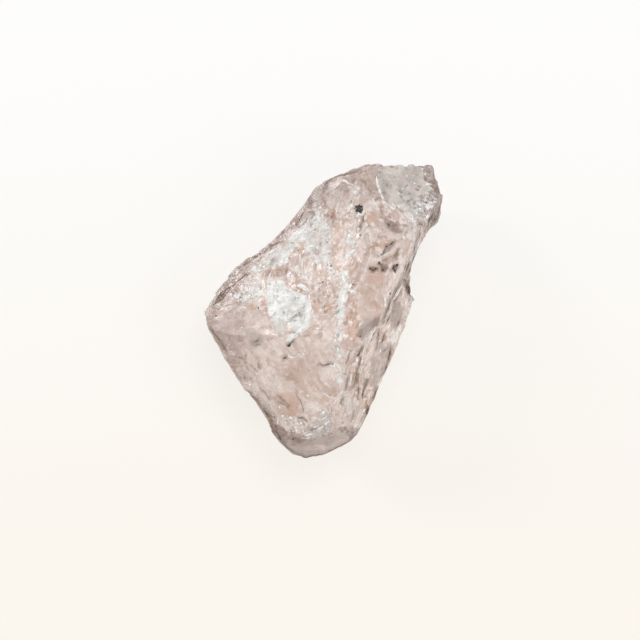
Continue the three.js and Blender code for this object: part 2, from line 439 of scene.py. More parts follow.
def chip_layer(tree, space, share):
    """How far one layer of chips lifts the skin, a random number for each chip, and 1 along the chips' edges."""
    cells = add(tree, "ShaderNodeTexVoronoi", {"Vector": space, "Scale": 1.0}, feature="F1").outputs
    arm = vector_of(tree, "SUBTRACT", space, cells["Position"])
    lean = vector_of(tree, "SUBTRACT", vector_of(tree, "SCALE", cells["Color"], scale=2.0), (1, 1, 1))
    lift = math_of(tree, "MULTIPLY", vector_of(tree, "DOT_PRODUCT", arm, lean), share)
    shade = add(tree, "ShaderNodeSeparateXYZ", {"Vector": cells["Color"]}).outputs["X"]
    gap = add(tree, "ShaderNodeTexVoronoi", {"Vector": space, "Scale": 1.0}, feature="DISTANCE_TO_EDGE").outputs[0]
    return lift, shade, remap(tree, gap, *CHIP_EDGE)


def chip_tree():
    settings = {"Wander": 0.0, "Small chips": 0.0, "Small share": 0.0, "Grit size": 0.0, "Grit height": 0.0}
    tree, given, made = new_tree("chips", settings)
    space = attribute_of(tree, "chip_space", "FLOAT_VECTOR")
    bend = add(tree, "ShaderNodeTexNoise", {"Vector": space, "Scale": 1.4, "Detail": 2.0}).outputs["Color"]
    bend = vector_of(tree, "SCALE", vector_of(tree, "SUBTRACT", bend, (0.5, 0.5, 0.5)), scale=given["Wander"])
    space = vector_of(tree, "ADD", space, bend)
    large, shade, edge = chip_layer(tree, space, 1.0)
    finer = vector_of(tree, "SCALE", space, scale=given["Small chips"])
    small, small_light_and_shade, small_edge = chip_layer(tree, finer, given["Small share"])
    lift = math_of(tree, "MULTIPLY", math_of(tree, "ADD", large, small), attribute_of(tree, "chip_rise"))
    where = add(tree, "GeometryNodeInputPosition").outputs[0]
    grit_scale = math_of(tree, "DIVIDE", 1.0, given["Grit size"])
    grit = add(tree, "ShaderNodeTexNoise", {"Vector": where, "Scale": grit_scale, "Detail": 3.0}).outputs["Fac"]
    grit = math_of(tree, "MULTIPLY", math_of(tree, "SUBTRACT", grit, 0.5), given["Grit height"])
    out = vector_of(
        tree, "SCALE", add(tree, "GeometryNodeInputNormal").outputs[0], scale=math_of(tree, "ADD", lift, grit))
    moved = add(tree, "GeometryNodeSetPosition", {"Geometry": given["Geometry"], "Offset": out}).outputs[0]
    # the chips' random numbers are kept for the stone's material, which paints light and shade by them
    kept = {"chip_light_and_shade": shade, "small_light_and_shade": small_light_and_shade, "chip_edge": edge, "small_edge": small_edge}
    for name, value in kept.items():
        moved = add(
            tree, "GeometryNodeStoreNamedAttribute", {"Geometry": moved, "Name": name, "Value": value},
            data_type="FLOAT", domain="POINT").outputs[0]
    tree.links.new(moved, made["Geometry"])
    return tree


run_tree(stone, chip_tree(), {
    "Wander": 0.45, "Small chips": 2.7, "Small share": 0.22, "Grit size": 0.9 * MM, "Grit height": 0.10 * MM,
})
print("chipped skin:", len(stone.data.vertices), "points, attributes", [a.name for a in stone.data.attributes])

# %% [markdown]
# ## Keeping the outline
# Chips must not make the stone larger than its solid, and it still has to lie flat. So each point is held inside the
# solid's box, with the underside's chips dug upwards.

# %% Hold the skin inside the box
RIM_STEP = 0.01  # share of its way to the middle by which a place past the rim is drawn in at a time


def hold_inside(mesh, box):
    held = places(mesh)
    low, high = (np.array(corner) / MM for corner in box)
    held = np.clip(held, low, high)
    mesh.vertices.foreach_set("co", (held * MM).astype(np.float32).ravel())
    mesh.shade_smooth()
    mesh.update()
    return held


points = hold_inside(stone.data, cad_box)
surface = BVHTree.FromPolygons(
    [Vector(point) for point in points], [tuple(face.vertices) for face in stone.data.polygons])


def land(x, y):
    """The place on the stone that the plan's x, y in mm falls on, and the way the skin faces there.

    A place just past the rim is drawn towards the middle until it meets the stone.
    """
    share = 1.0
    while share > 0:
        aim = Vector((x * share, y * share, BROADEST_HEIGHT)) - EYE
        spot, out, _, _ = surface.ray_cast(EYE, aim)
        if spot:
            return spot, out
        share -= RIM_STEP


print("height of the crest in mm:", round(float(points[:, 2].max()), 2))

# %% [markdown]
# ## A map of the flaws and of painted light and shade
# Some of the map is painted light and shade rather than flaws: reflections in the pan, along the rims, by the tip and
# on the dome, shade in the notch and on the drawn breaks' steps, and highlights on the shelf.
# What makes this stone this one and no other is where its flaws lie. They are drawn here in plan, as lines and
# outlines with a few points each: the crushed white ridge, the frosted rim of a shell, warmer and greyer fields.
# The plan is a level sheet at the height where the stone is broadest, and each flaw falls from it onto the stone
# along the line of sight. Distance to a line, or being inside an outline, gives each point of the skin a value from
# 0 to about 1.

# %% Map helpers
SEEDS_APART = 9.1
NOISE_GAIN = 1.6  # brings the noise to about -1 to 1


def span(value, low, high):
    """0 at low, 1 at high, smooth between."""
    share = np.clip((value - low) / (high - low), 0, 1)
    return share * share * (3 - 2 * share)


def to_line(points, path):
    """Distance in plan from each point to a line through the path's points."""
    nearest = np.full(len(points), np.inf)
    flat = points[:, :2]
    for start, end in zip(path[:-1], path[1:]):
        start, end = np.array(start, float), np.array(end, float)
        way = end - start
        share = np.clip(((flat - start) @ way) / (way @ way), 0, 1)
        nearest = np.minimum(nearest, np.linalg.norm(flat - start - share[:, None] * way, axis=1))
    return nearest


def within(points, outline):
    """Distance in plan to the outline, more than 0 inside it and less than 0 outside."""
    inside = np.zeros(len(points), bool)
    x, y = points[:, 0], points[:, 1]
    for (x0, y0), (x1, y1) in zip(outline, outline[1:] + outline[:1]):
        if y0 != y1:
            inside ^= ((y0 > y) != (y1 > y)) & (x < (x1 - x0) * (y - y0) / (y1 - y0) + x0)
    return np.where(inside, 1, -1) * to_line(points, outline + outline[:1])


def wavering(points, size, seed):
    """Smooth noise from about -1 to 1 for each point, with swells of that size in mm."""
    shift = Vector((seed * SEEDS_APART, 0, 0))
    return NOISE_GAIN * np.array([noise.noise(Vector(point) / size + shift) for point in points])


def as_seen(points):
    """The points moved along the line of sight to the plan, with their heights kept."""
    eye = np.array(EYE)
    reach = (eye[2] - BROADEST_HEIGHT) / (eye[2] - points[:, 2])
    seen = points.copy()
    seen[:, :2] = eye[:2] + (points[:, :2] - eye[:2]) * reach[:, None]
    return seen


# %% Outlines that several maps share
# in mm
PAN_FOOT = [(-4.75, -0.3), (-4.2, -0.8), (-3.4, -0.7), (-3.2, -1.5), (-3.5, -2.1), (-4.2, -1.8), (-4.7, -1.1)]
EAST_OF_PAN = [(-0.9, 2.4), (0.3, 2.5), (1.2, 2.1), (1.2, 1.0), (0.6, 0.1), (-0.6, -0.5), (-0.95, 0.2)]
SHELL = [(4.9, 12.8), (7.0, 13.2), (8.9, 12.8), (9.0, 11.7), (9.7, 11.2), (8.6, 10.1), (7.4, 9.6), (6.2, 9.4),
         (5.5, 10.0), (5.1, 11.0), (4.9, 11.6)]
LOWER_SHELL = [(6.2, 9.6), (7.4, 9.8), (8.6, 10.3), (9.7, 11.2), (10.2, 10.0), (9.6, 8.9), (9.0, 9.0), (8.3, 8.2),
               (7.8, 8.4), (7.0, 8.9)]
SMUDGE = [(3.2, -2.2), (3.5, -2.45), (4.2, -1.8), (5.0, -0.9), (4.9, -0.5), (4.0, -0.6), (3.4, -1.2)]
DRAWN_FACET = [(4.4, -4.2), (5.3, -4.0), (5.7, -4.7), (5.2, -6.0), (4.6, -6.8), (4.2, -6.4), (4.3, -5.2)]
SOUTH_CORNER = [(1.2, -7.0), (2.4, -7.1), (3.2, -8.3), (3.0, -9.0), (1.3, -9.0)]
SILVER_PATCH = [(-2.0, -10.9), (-1.0, -10.1), (-0.4, -9.4), (0.0, -9.0), (0.8, -8.9), (0.8, -9.7), (1.1, -10.3),
                (0.8, -10.7), (0.0, -11.1), (-1.2, -11.2)]

# %% Frost
# what, path in mm, half width, cover
FROST_LINES = [
    ("ridge, top", [(2.5, 7.2), (2.3, 6.4), (2.9, 6.0), (2.8, 5.4), (2.3, 5.0), (2.1, 4.3)], 0.34, 0.95),
    ("ridge, middle", [(1.8, 3.6), (1.9, 2.8), (2.0, 2.2), (1.8, 1.2), (1.7, 0.4), (1.4, -0.1)], 0.55, 1),
    ("ridge, low", [(1.6, -0.4), (1.6, -1.6), (1.2, -2.6), (1.3, -3.4), (1.4, -4.2)], 0.6, 0.78),
    ("ridge's foot", [(0.8, -4.9), (1.3, -4.9), (1.6, -5.3), (1.5, -6.2)], 0.5, 0.85),
    ("spur of the ridge", [(2.1, 2.0), (2.7, 1.8), (3.3, 1.5)], 0.25, 0.75),
    ("west limb", [(-0.4, 8.6), (0.3, 7.8), (0.2, 6.8), (0.3, 6.0), (0.2, 5.0), (0.5, 4.1), (0.9, 3.4)],
     0.65, 0.85),
    ("shelf", [(-6.3, 3.5), (-5.5, 4.2), (-4.4, 4.7), (-3.4, 5.2), (-2.6, 6.0), (-2.3, 6.8), (-1.6, 7.4)],
     0.65, 0.85),
    ("rib of the shelf", [(-5.6, 4.8), (-4.7, 5.2), (-3.8, 5.8)], 0.18, 0.85),
    ("knot on the shelf", [(-3.9, 4.5), (-3.5, 4.3), (-3.1, 4.7)], 0.3, 1),
    ("south of the shelf", [(-2.2, 3.9), (-2.1, 3.2), (-1.6, 3.2), (-1.3, 3.6)], 0.3, 0.85),
    ("shell's rim", [(4.8, 12.2), (4.85, 11.2), (5.2, 10.5), (5.5, 9.7), (6.3, 9.1)], 0.2, 0.9),
    ("rim of the crown", [(1.7, 11.7), (2.2, 11.5), (3.2, 11.0)], 0.18, 0.75),
    ("tuft on the crown", [(2.5, 10.9), (3.1, 10.6)], 0.35, 0.7),
    ("round the black grain", [(2.5, 9.5), (2.6, 8.9), (3.6, 8.6), (3.7, 9.2)], 0.25, 0.65),
    ("dome's upper edge", [(-2.2, -11.2), (-1.0, -11.25), (0.2, -11.0), (0.9, -10.6)], 0.14, 0.75),
    ("south-east corner", [(3.3, -8.9), (3.8, -8.6)], 0.3, 0.85),
    ("east of the pan", [(-1.0, 2.9), (-0.6, 2.6)], 0.25, 0.7),
]
# what, outline in mm, cover
# the pan's white is crust, and also a painted reflection of the light
PAN = [(-4.95, 2.3), (-4.6, 2.75), (-4.0, 2.9), (-3.3, 2.6), (-3.1, 2.2), (-2.9, 1.75), (-2.2, 1.6), (-1.4, 1.45),
       (-1.15, 0.9), (-1.05, 0.1), (-1.0, -0.6), (-1.15, -1.2), (-1.8, -1.8), (-2.4, -2.2), (-2.9, -2.85),
       (-3.2, -2.6), (-3.0, -2.2), (-2.5, -1.9), (-2.9, -1.4), (-3.0, -1.0), (-3.4, -0.8), (-4.2, -0.9),
       (-4.75, -0.3), (-4.9, 0.5), (-4.85, 1.3)]
FROST_AREAS = [
    ("pan", PAN, 1.25),
    ("pan's faint foot", PAN_FOOT, 0.95),
    ("sliver north of the pan", [(-2.4, 2.3), (-1.9, 2.5), (-1.2, 2.1), (-1.1, 1.7), (-1.8, 1.9)], 0.95),
    ("sparkling corner", [(-8.2, 1.1), (-7.4, 1.9), (-7.1, 2.6), (-6.0, 2.8), (-5.2, 2.6), (-5.2, 1.6), (-5.8, 0.9),
                          (-7.0, 0.7)], 0.84),
    ("silky shelf", [(-6.5, 3.4), (-5.6, 4.5), (-4.6, 5.1), (-3.5, 5.7), (-3.0, 6.5), (-2.3, 7.1), (-1.3, 7.3),
                     (-0.9, 6.5), (-1.1, 6.0), (-2.0, 5.6), (-2.4, 5.9), (-2.6, 5.2), (-3.0, 4.9), (-3.0, 4.2),
                     (-4.0, 4.0), (-4.7, 4.1), (-5.4, 3.6)], 0.97),
    # the three bright parts of the shelf are painted highlights
    ("bright end of the shelf", [(-6.4, 3.4), (-6.1, 3.9), (-5.4, 4.3), (-5.5, 3.7)], 1.1),
    ("bright middle of the shelf", [(-4.0, 4.2), (-3.6, 4.9), (-3.0, 5.0), (-3.1, 4.3), (-3.6, 4.1)], 1.1),
    ("bright top of the shelf", [(-2.9, 6.1), (-2.6, 6.8), (-2.0, 7.1), (-2.1, 6.5)], 1.1),
    ("facet on the crown", [(2.2, 11.1), (2.9, 11.0), (3.4, 11.1), (3.2, 10.4), (2.7, 10.4)], 0.88),
    ("above the dome", [(-4.1, -9.2), (-2.6, -9.2), (-1.0, -9.9), (-1.9, -10.9), (-3.1, -10.6), (-4.3, -10.0)], 0.94),
    ("north-east shell", SHELL, 1.15),
    ("shell, lower right", LOWER_SHELL, 0.84),
    ("knob's side", [(7.3, 9.9), (9.5, 10.3), (10.1, 9.4), (9.1, 7.7), (7.9, 6.8), (7.3, 8.6)], 0.74),
    ("dome's silver patch", SILVER_PATCH, 0.82),
    ("west of the ridge", [(-2, 7.4), (-0.9, 8.6), (0.7, 8.1), (0.8, 6.3), (0.7, 4.4), (-0.4, 4), (-1.5, 4.9)], 0.86),
    ("pale facet in the south", [(2.1, -7.7), (2.8, -7.8), (2.8, -9.0), (2.2, -9.0)], 0.9),
    ("south corner", SOUTH_CORNER, 0.5),
]

# %% Tones
# what, outline in mm, strength
PALE_AREAS = [
    ("north-west band", [(-10.0, 0.3), (-9.4, 1.6), (-8.6, 2.9), (-7.8, 3.7), (-6.6, 4.4), (-5.4, 5.4), (-4.6, 5.8),
                         (-6.0, 4.4), (-7.0, 3.7), (-8.0, 2.6), (-8.9, 2.1), (-9.4, 1.4)], 0.1),
    ("knob", [(7.6, 8.6), (9.4, 9.0), (9.9, 8.3), (9.1, 7.0), (8.0, 6.5)], 0.8),
    ("dome, low", [(-3.4, -12.0), (-2.0, -11.9), (0.0, -12.0), (1.6, -11.6), (1.6, -12.2), (-1.0, -13.0),
                   (-2.8, -12.6)], 0.9),
    ("crown, north", [(0.7, 10.9), (1.3, 11.6), (2.0, 11.3), (1.9, 10.4), (1.1, 10.1)], 0.6),
    ("crown, west", [(0.4, 10.2), (0.4, 9.6), (1.2, 9.3), (1.6, 9.6), (1.0, 10.3)], 0.9),
    ("crown, middle", [(1.3, 8.9), (1.9, 9.4), (2.4, 9.5), (2.1, 8.6), (1.5, 8.2)], 0.9),
    ("crown, tuft", [(2.3, 11.1), (3.2, 11.0), (3.3, 10.6), (2.8, 10.3)], 0.9),
    ("crown, east", [(3.9, 10.6), (4.4, 9.9), (4.5, 9.1), (3.7, 9.5)], 0.5),
    ("crown, south-west", [(-0.4, 8.8), (0.2, 9.3), (0.5, 8.6), (0.2, 8.0)], 0.8),
    ("east, north", [(3.6, 7.3), (4.9, 7.3), (5.2, 6.7), (4.5, 6.3), (3.3, 6.3)], 0.8),
    ("beside the lens", [(5.0, 8.2), (6.0, 7.6), (7.2, 6.9), (6.9, 6.7), (5.8, 6.9), (5.0, 7.4)], 0.3),
    ("between the stripes", [(5.1, 4.9), (6.3, 5.6), (6.5, 5.3), (5.4, 4.6)], 0.6),
    ("beyond the stripes", [(6.9, 6.3), (7.3, 6.3), (7.0, 5.2), (6.7, 4.6), (6.6, 5.0)], 0.5),
    ("west of the ridge", [(0.3, 0.2), (1.2, 0.3), (1.2, -1.2), (0.9, -2.3), (-0.1, -2.3), (-0.2, -1.2)], 0.45),
    ("on the ridge", [(1.3, 0.3), (2.0, 0.3), (2.0, -0.6), (1.4, -1.0)], 0.7),
    ("ridge, low", [(1.2, -2.8), (2.1, -2.9), (1.9, -4.6), (1.2, -4.6)], 0.2),
    ("ridge's foot", [(0.0, -5.0), (1.9, -4.8), (1.9, -6.9), (0.7, -6.8), (-0.2, -6.0)], 1),
    ("south corner", SOUTH_CORNER, 0.8),
    ("south", [(-1.6, -7.8), (-0.3, -7.1), (1.2, -7.5), (1.2, -8.8), (-0.1, -8.8), (-1.3, -9.3)], 0.6),
    ("above the dome", [(-3.4, -9.4), (-1.9, -9.3), (-0.9, -9.9), (-2.0, -10.9), (-3.2, -10.4)], 1),
    ("south-west rim", [(-6.5, -6.3), (-5.8, -6.7), (-5.1, -7.5), (-4.7, -8.8), (-5.2, -8.4), (-6.0, -7.5)], 0.9),
    ("within the south-west rim", [(-5.4, -5.6), (-4.5, -6.2), (-4.1, -7.0), (-4.6, -7.2), (-5.2, -6.4)], 0.7),
    ("west of the orange patch", [(-4.4, -7.3), (-4.2, -8.6), (-3.8, -9.3), (-4.3, -9.3), (-4.7, -8.4)], 0.7),
    ("west upper break", [(-8.1, 0.7), (-5.6, -0.2), (-5.2, -1.0), (-7.5, -0.8)], 0.4),
    ("south of the notch", [(7.2, 1.9), (7.6, 1.2), (7.6, 0.0), (7.2, -0.4), (7.1, 0.7)], 0.6),
    ("knob's foot", [(8.6, 6.5), (9.6, 7.0), (9.0, 5.8), (8.0, 3.9), (7.8, 4.4)], 0.5),
]
WARM_AREAS = [
    ("below the shelf", [(-5.6, 3.1), (-5.2, 3.7), (-4.3, 3.8), (-3.2, 4.0), (-2.6, 3.9), (-2.7, 3.5), (-3.5, 3.1),
                         (-4.6, 2.95)], 1),
    ("beside the wedge", [(-8.4, 1.5), (-8.0, 2.2), (-7.0, 3.1), (-6.3, 3.4), (-6.5, 2.8), (-7.3, 2.2),
                          (-7.9, 1.6)], 0.8),
    ("north of the pan", [(-2.9, 2.6), (-2.6, 2.8), (-2.4, 2.5), (-2.5, 2.2), (-2.8, 2.3)], 1),
    ("on the pan's edge", [(-2.6, 2.0), (-1.7, 1.9), (-1.2, 1.6), (-2.2, 1.6)], 0.7),
    ("west of the pan", [(-5.5, 1.2), (-5.0, 1.3), (-4.9, 0.3), (-5.5, 0.3)], 0.8),
    ("further west of the pan", [(-6.6, 0.7), (-6.0, 0.8), (-6.0, 0.2), (-6.7, 0.3)], 0.8),
    ("between the limbs", [(-1.1, 3.6), (-0.1, 3.7), (0.6, 3.5), (0.3, 2.9), (-0.5, 2.9)], 0.8),
    ("east of the pan", EAST_OF_PAN, 1),
    ("hollow in the frost", [(-2.1, 6.2), (-1.6, 6.3), (-1.3, 5.9), (-1.7, 5.4), (-1.8, 4.9), (-2.2, 5.2)], 0.6),
    ("orange patch", [(-4.3, -7.4), (-3.4, -7.0), (-2.5, -7.2), (-1.9, -8.2), (-1.65, -8.9), (-2.3, -9.1),
                      (-3.2, -9.2), (-4.0, -8.6)], 0.75),
    ("by the stripes", [(4.3, 6.0), (5.2, 6.4), (6.3, 6.4), (5.8, 5.7), (5.1, 5.4), (4.4, 5.5)], 1),
    ("among the stripes", [(5.7, 5.0), (6.8, 5.6), (6.6, 4.6), (5.9, 4.2), (5.2, 4.3)], 0.8),
    ("round the stains", [(4.0, 4.2), (5.0, 4.7), (6.4, 4.4), (6.6, 3.3), (5.0, 3.2), (4.0, 3.4)], 0.6),
    ("east of the limb", [(1.2, 7.9), (1.8, 8.0), (2.1, 7.2), (1.8, 6.5), (1.2, 6.6)], 0.8),
    ("east of the limb, south", [(0.7, 5.8), (1.3, 6.3), (1.6, 5.7), (1.2, 4.5), (0.7, 4.3), (0.6, 5.0)], 0.7),
    ("foot of the limb", [(1.9, 4.2), (2.1, 3.6), (1.6, 3.4), (1.1, 3.9), (1.2, 4.3)], 0.5),
    ("east of the ridge", [(2.4, 4.9), (3.1, 4.9), (3.5, 4.2), (3.4, 2.9), (2.6, 2.9), (2.2, 3.9)], 0.7),
    ("east break", [(3.4, 3.2), (5.4, 3.2), (5.4, 1.2), (5.2, 0.0), (4.7, -0.5), (3.4, -1.0)], 0.5),
    ("along the ridge", [(2.3, 1.1), (3.2, 1.3), (3.3, -0.2), (3.2, -2.4), (2.6, -3.0), (2.1, -2.0),
                         (2.2, -0.4)], 0.7),
    ("north of the stains", [(3.6, 5.6), (4.2, 6.1), (4.6, 5.3), (4.1, 4.5), (3.5, 4.8)], 0.6),
    ("crown, east", [(3.7, 8.9), (4.7, 8.9), (4.9, 8.0), (4.2, 7.4), (3.7, 7.7)], 0.7),
    ("crown, north", [(2.4, 11.4), (3.4, 12.2), (4.7, 12.7), (4.7, 11.1), (4.2, 10.5), (3.4, 11.1)], 0.15),
    ("crown, south-west", [(0.4, 9.0), (1.1, 9.1), (1.2, 8.5), (0.8, 8.2), (0.4, 8.6)], 0.8),
    ("crown, west", [(-0.4, 9.5), (0.3, 9.7), (0.3, 9.2), (-0.2, 9.1)], 0.7),
    ("west lower break", [(-2.6, -4.4), (-0.3, -4.4), (0.1, -5.6), (-0.5, -6.9), (-2.4, -6.6), (-3.4, -5.6)], 0.15),
    ("small one in the south", [(-0.5, -7.6), (0.5, -7.6), (0.5, -8.2), (-0.3, -8.3)], 0.7),
    ("above the dome", [(-4.3, -9.0), (-2.6, -9.0), (-0.9, -9.8), (-1.9, -11.0), (-3.1, -10.8), (-4.5, -10.0)], 0.6),
    ("tip", [(-10.3, -0.7), (-9.9, 0.2), (-8.8, 0.6), (-7.6, -0.2), (-7.2, -1.6), (-8.6, -1.8)], 0.25),
    ("knob", [(8.3, 7.5), (8.5, 8.0), (9.2, 8.0), (9.3, 7.5), (8.8, 7.1)], 0.7),
    ("below the knob", [(7.2, 6.6), (8.0, 6.2), (7.6, 4.6), (7.2, 3.5), (7.0, 4.8)], 0.4),
    ("on the drawn break", [(2.6, -5.2), (3.0, -5.0), (2.9, -6.6), (2.5, -6.4)], 0.7),
    ("drawn break", [(6.9, 3.0), (7.5, 0.0), (6.5, -3.0), (5.0, -7.0), (4.0, -9.0), (2.2, -9.0), (2.2, -5.0),
                     (3.4, -3.0), (5.0, -1.0), (6.0, 1.5)], 0.35),
]
GREY_AREAS = [
    ("pan's faint foot", PAN_FOOT, 0.6),
    ("bay in the shelf", [(-4.9, 4.3), (-4.2, 4.9), (-3.5, 5.2), (-3.6, 4.9), (-4.1, 4.4), (-4.7, 3.9)], 0.8),
    ("facet on the drawn break", DRAWN_FACET, 0.7),
    ("north-east shell", SHELL, 0.95),
    ("shell, lower right", LOWER_SHELL, 0.25),
    ("smudge on the east break", SMUDGE, 0.5),
    ("silky shelf", [(-6.2, 3.6), (-4.6, 5.1), (-3.4, 5.7), (-2.4, 7.0), (-1.3, 7.2), (-2.4, 5.9), (-3.2, 5.0),
                     (-4.7, 4.1)], 0.3),
    ("west of the ridge", [(-1.4, 7.4), (-0.9, 8.6), (0.7, 8.1), (0.8, 6.3), (0.7, 4.4), (-0.4, 4),
                           (-1.2, 5.4)], 0.3),
    ("below the black grain", [(2.5, 8.7), (3.0, 8.8), (3.2, 7.9), (3.0, 7.0), (2.6, 7.2)], 0.6),
    ("smudge on the west lower break", [(-6.3, -2.4), (-5.6, -2.3), (-5.2, -2.8), (-5.8, -3.1), (-6.3, -3.0)], 0.9),
    ("smudge south of the tip", [(-7.0, -1.5), (-6.0, -1.6), (-5.9, -2.0), (-6.8, -2.1)], 0.6),
    ("south of the notch", [(6.2, 0.9), (6.9, 0.9), (7.1, 0.0), (6.9, -1.2), (6.3, -1.4), (6.0, -0.5)], 0.5),
    # on the dome the grey is painted reflection of the surroundings
    ("dome", [(-4.3, -10.2), (-3.5, -10.3), (-2.8, -10.95), (-2.0, -11.2), (-0.8, -11.25), (0.3, -11.0),
              (1.1, -10.4), (2.0, -10.3), (3.6, -10.1), (3.0, -11.2), (1.6, -12.3), (-1.0, -13.2), (-3.0, -12.6),
              (-4.0, -11.3)], 0.3),
    ("dome's silver patch", SILVER_PATCH, 0.8),
]
DARK_AREAS = [
    # the wedge by the tip and the north-west band are painted dark reflection, from their steep faces
    ("wedge by the tip", [(-10.0, 0.35), (-9.6, 0.95), (-9.1, 1.6), (-8.6, 2.05), (-8.0, 2.35), (-8.4, 1.75),
                          (-8.8, 1.2), (-9.4, 0.75)], 0.85),
    ("north-west band", [(-9.4, 1.6), (-8.6, 2.9), (-7.8, 3.7), (-6.6, 4.4), (-5.4, 5.4), (-4.6, 5.8), (-6.0, 4.4),
                         (-7.0, 3.7), (-8.0, 2.6), (-8.9, 2.1)], 0.14),
    ("west upper break", [(-10.2, -0.9), (-9.4, -0.1), (-5.2, -0.1), (-5.0, -1.2), (-6.0, -2.1), (-9.4, -1.9)], 0.05),
    ("below the shelf", [(-5.6, 3.1), (-5.2, 3.6), (-4.3, 3.7), (-3.2, 3.9), (-2.7, 3.5), (-3.5, 3.1)], 0.33),
    ("east of the pan", EAST_OF_PAN, 0.13),
    ("oval lens", [(5.25, 8.35), (5.8, 8.15), (6.4, 7.95), (6.9, 7.4), (7.1, 6.95), (6.5, 6.95), (5.9, 7.2),
                   (5.5, 7.75)], 0.48),
    ("stain, west", [(4.05, 3.9), (4.5, 3.95), (4.95, 3.9), (4.9, 3.55), (4.4, 3.5)], 0.8),
    ("stain, middle", [(4.9, 4.2), (5.15, 4.5), (5.3, 4.3), (5.75, 4.15), (5.9, 3.8), (5.5, 3.45), (5.15, 3.6),
                       (5.2, 3.95)], 0.7),
    ("stain, east", [(6.15, 3.8), (6.3, 4.2), (6.75, 4.2), (6.6, 3.8), (6.45, 3.45)], 0.8),
    ("above the stains", [(5.2, 4.6), (6.0, 5.0), (6.7, 5.3), (6.75, 4.6), (6.0, 4.3)], 0.36),
    ("stripe above the stains", [(5.0, 5.0), (5.7, 5.9), (6.3, 6.4), (6.6, 6.3), (6.1, 5.6), (5.4, 4.9)], 0.5),
    ("between the lines of the notch", [(6.3, 0.9), (6.9, 0.9), (7.1, 0.2), (7.0, -1.0), (6.6, -1.4), (6.2, -1.3),
                                        (6.0, -0.5)], 0.34),
    ("dark facet by the rim", [(5.1, -3.1), (6.1, -3.0), (6.2, -3.6), (5.9, -4.6), (5.3, -4.2), (5.0, -3.7)], 0.35),
    ("step above the dark facet", [(5.4, -2.0), (5.7, -2.2), (5.4, -3.0), (5.1, -3.0)], 0.4),
    ("facet on the drawn break", DRAWN_FACET, 0.1),
    ("inside the shell's rim", [(5.1, 11.0), (5.6, 10.8), (6.0, 10.2), (5.7, 9.8), (5.4, 10.1)], 0.35),
    ("dome, west", [(-4.3, -10.2), (-3.5, -10.3), (-2.9, -11.0), (-3.3, -12.0), (-4.0, -11.2)], 0.2),
    ("dome, top", [(-3.0, -11.0), (-0.8, -11.25), (0.3, -11.0), (1.1, -10.4), (2.4, -10.3), (3.4, -10.2),
                   (2.6, -11.2), (1.4, -11.4), (0.2, -11.8), (-1.0, -11.9), (-2.6, -11.7)], 0.22),
    ("cloud on the west break", [(-6.9, -1.6), (-5.9, -1.4), (-5.3, -2.2), (-5.4, -3.0), (-6.3, -3.1),
                                 (-6.9, -2.3)], 0.14),
    ("cleft in the pan", [(-3.0, -0.6), (-2.5, -0.3), (-1.9, 0.1), (-1.8, -0.2), (-2.4, -0.6), (-2.9, -1.0)], 0.6),
    # painted shade in the notch
    ("notch", [(7.0, 3.0), (7.5, 2.8), (7.8, 1.4), (7.5, 1.6)], 0.7),
    ("south-east rim", [(5.6, -3.0), (6.2, -2.9), (5.9, -4.6), (5.4, -5.8), (5.2, -5.2), (5.6, -4.2)], 0.4),
    ("neck", [(7.4, 4.4), (7.9, 4.4), (7.3, 2.8), (7.0, 3.0)], 0.4),
    ("smudge on the east break", SMUDGE, 0.22),
    ("corner of the smudge", [(3.2, -1.6), (3.1, -2.2), (3.5, -2.5), (4.0, -2.2), (3.7, -2.0), (3.5, -2.1)], 0.45),
]

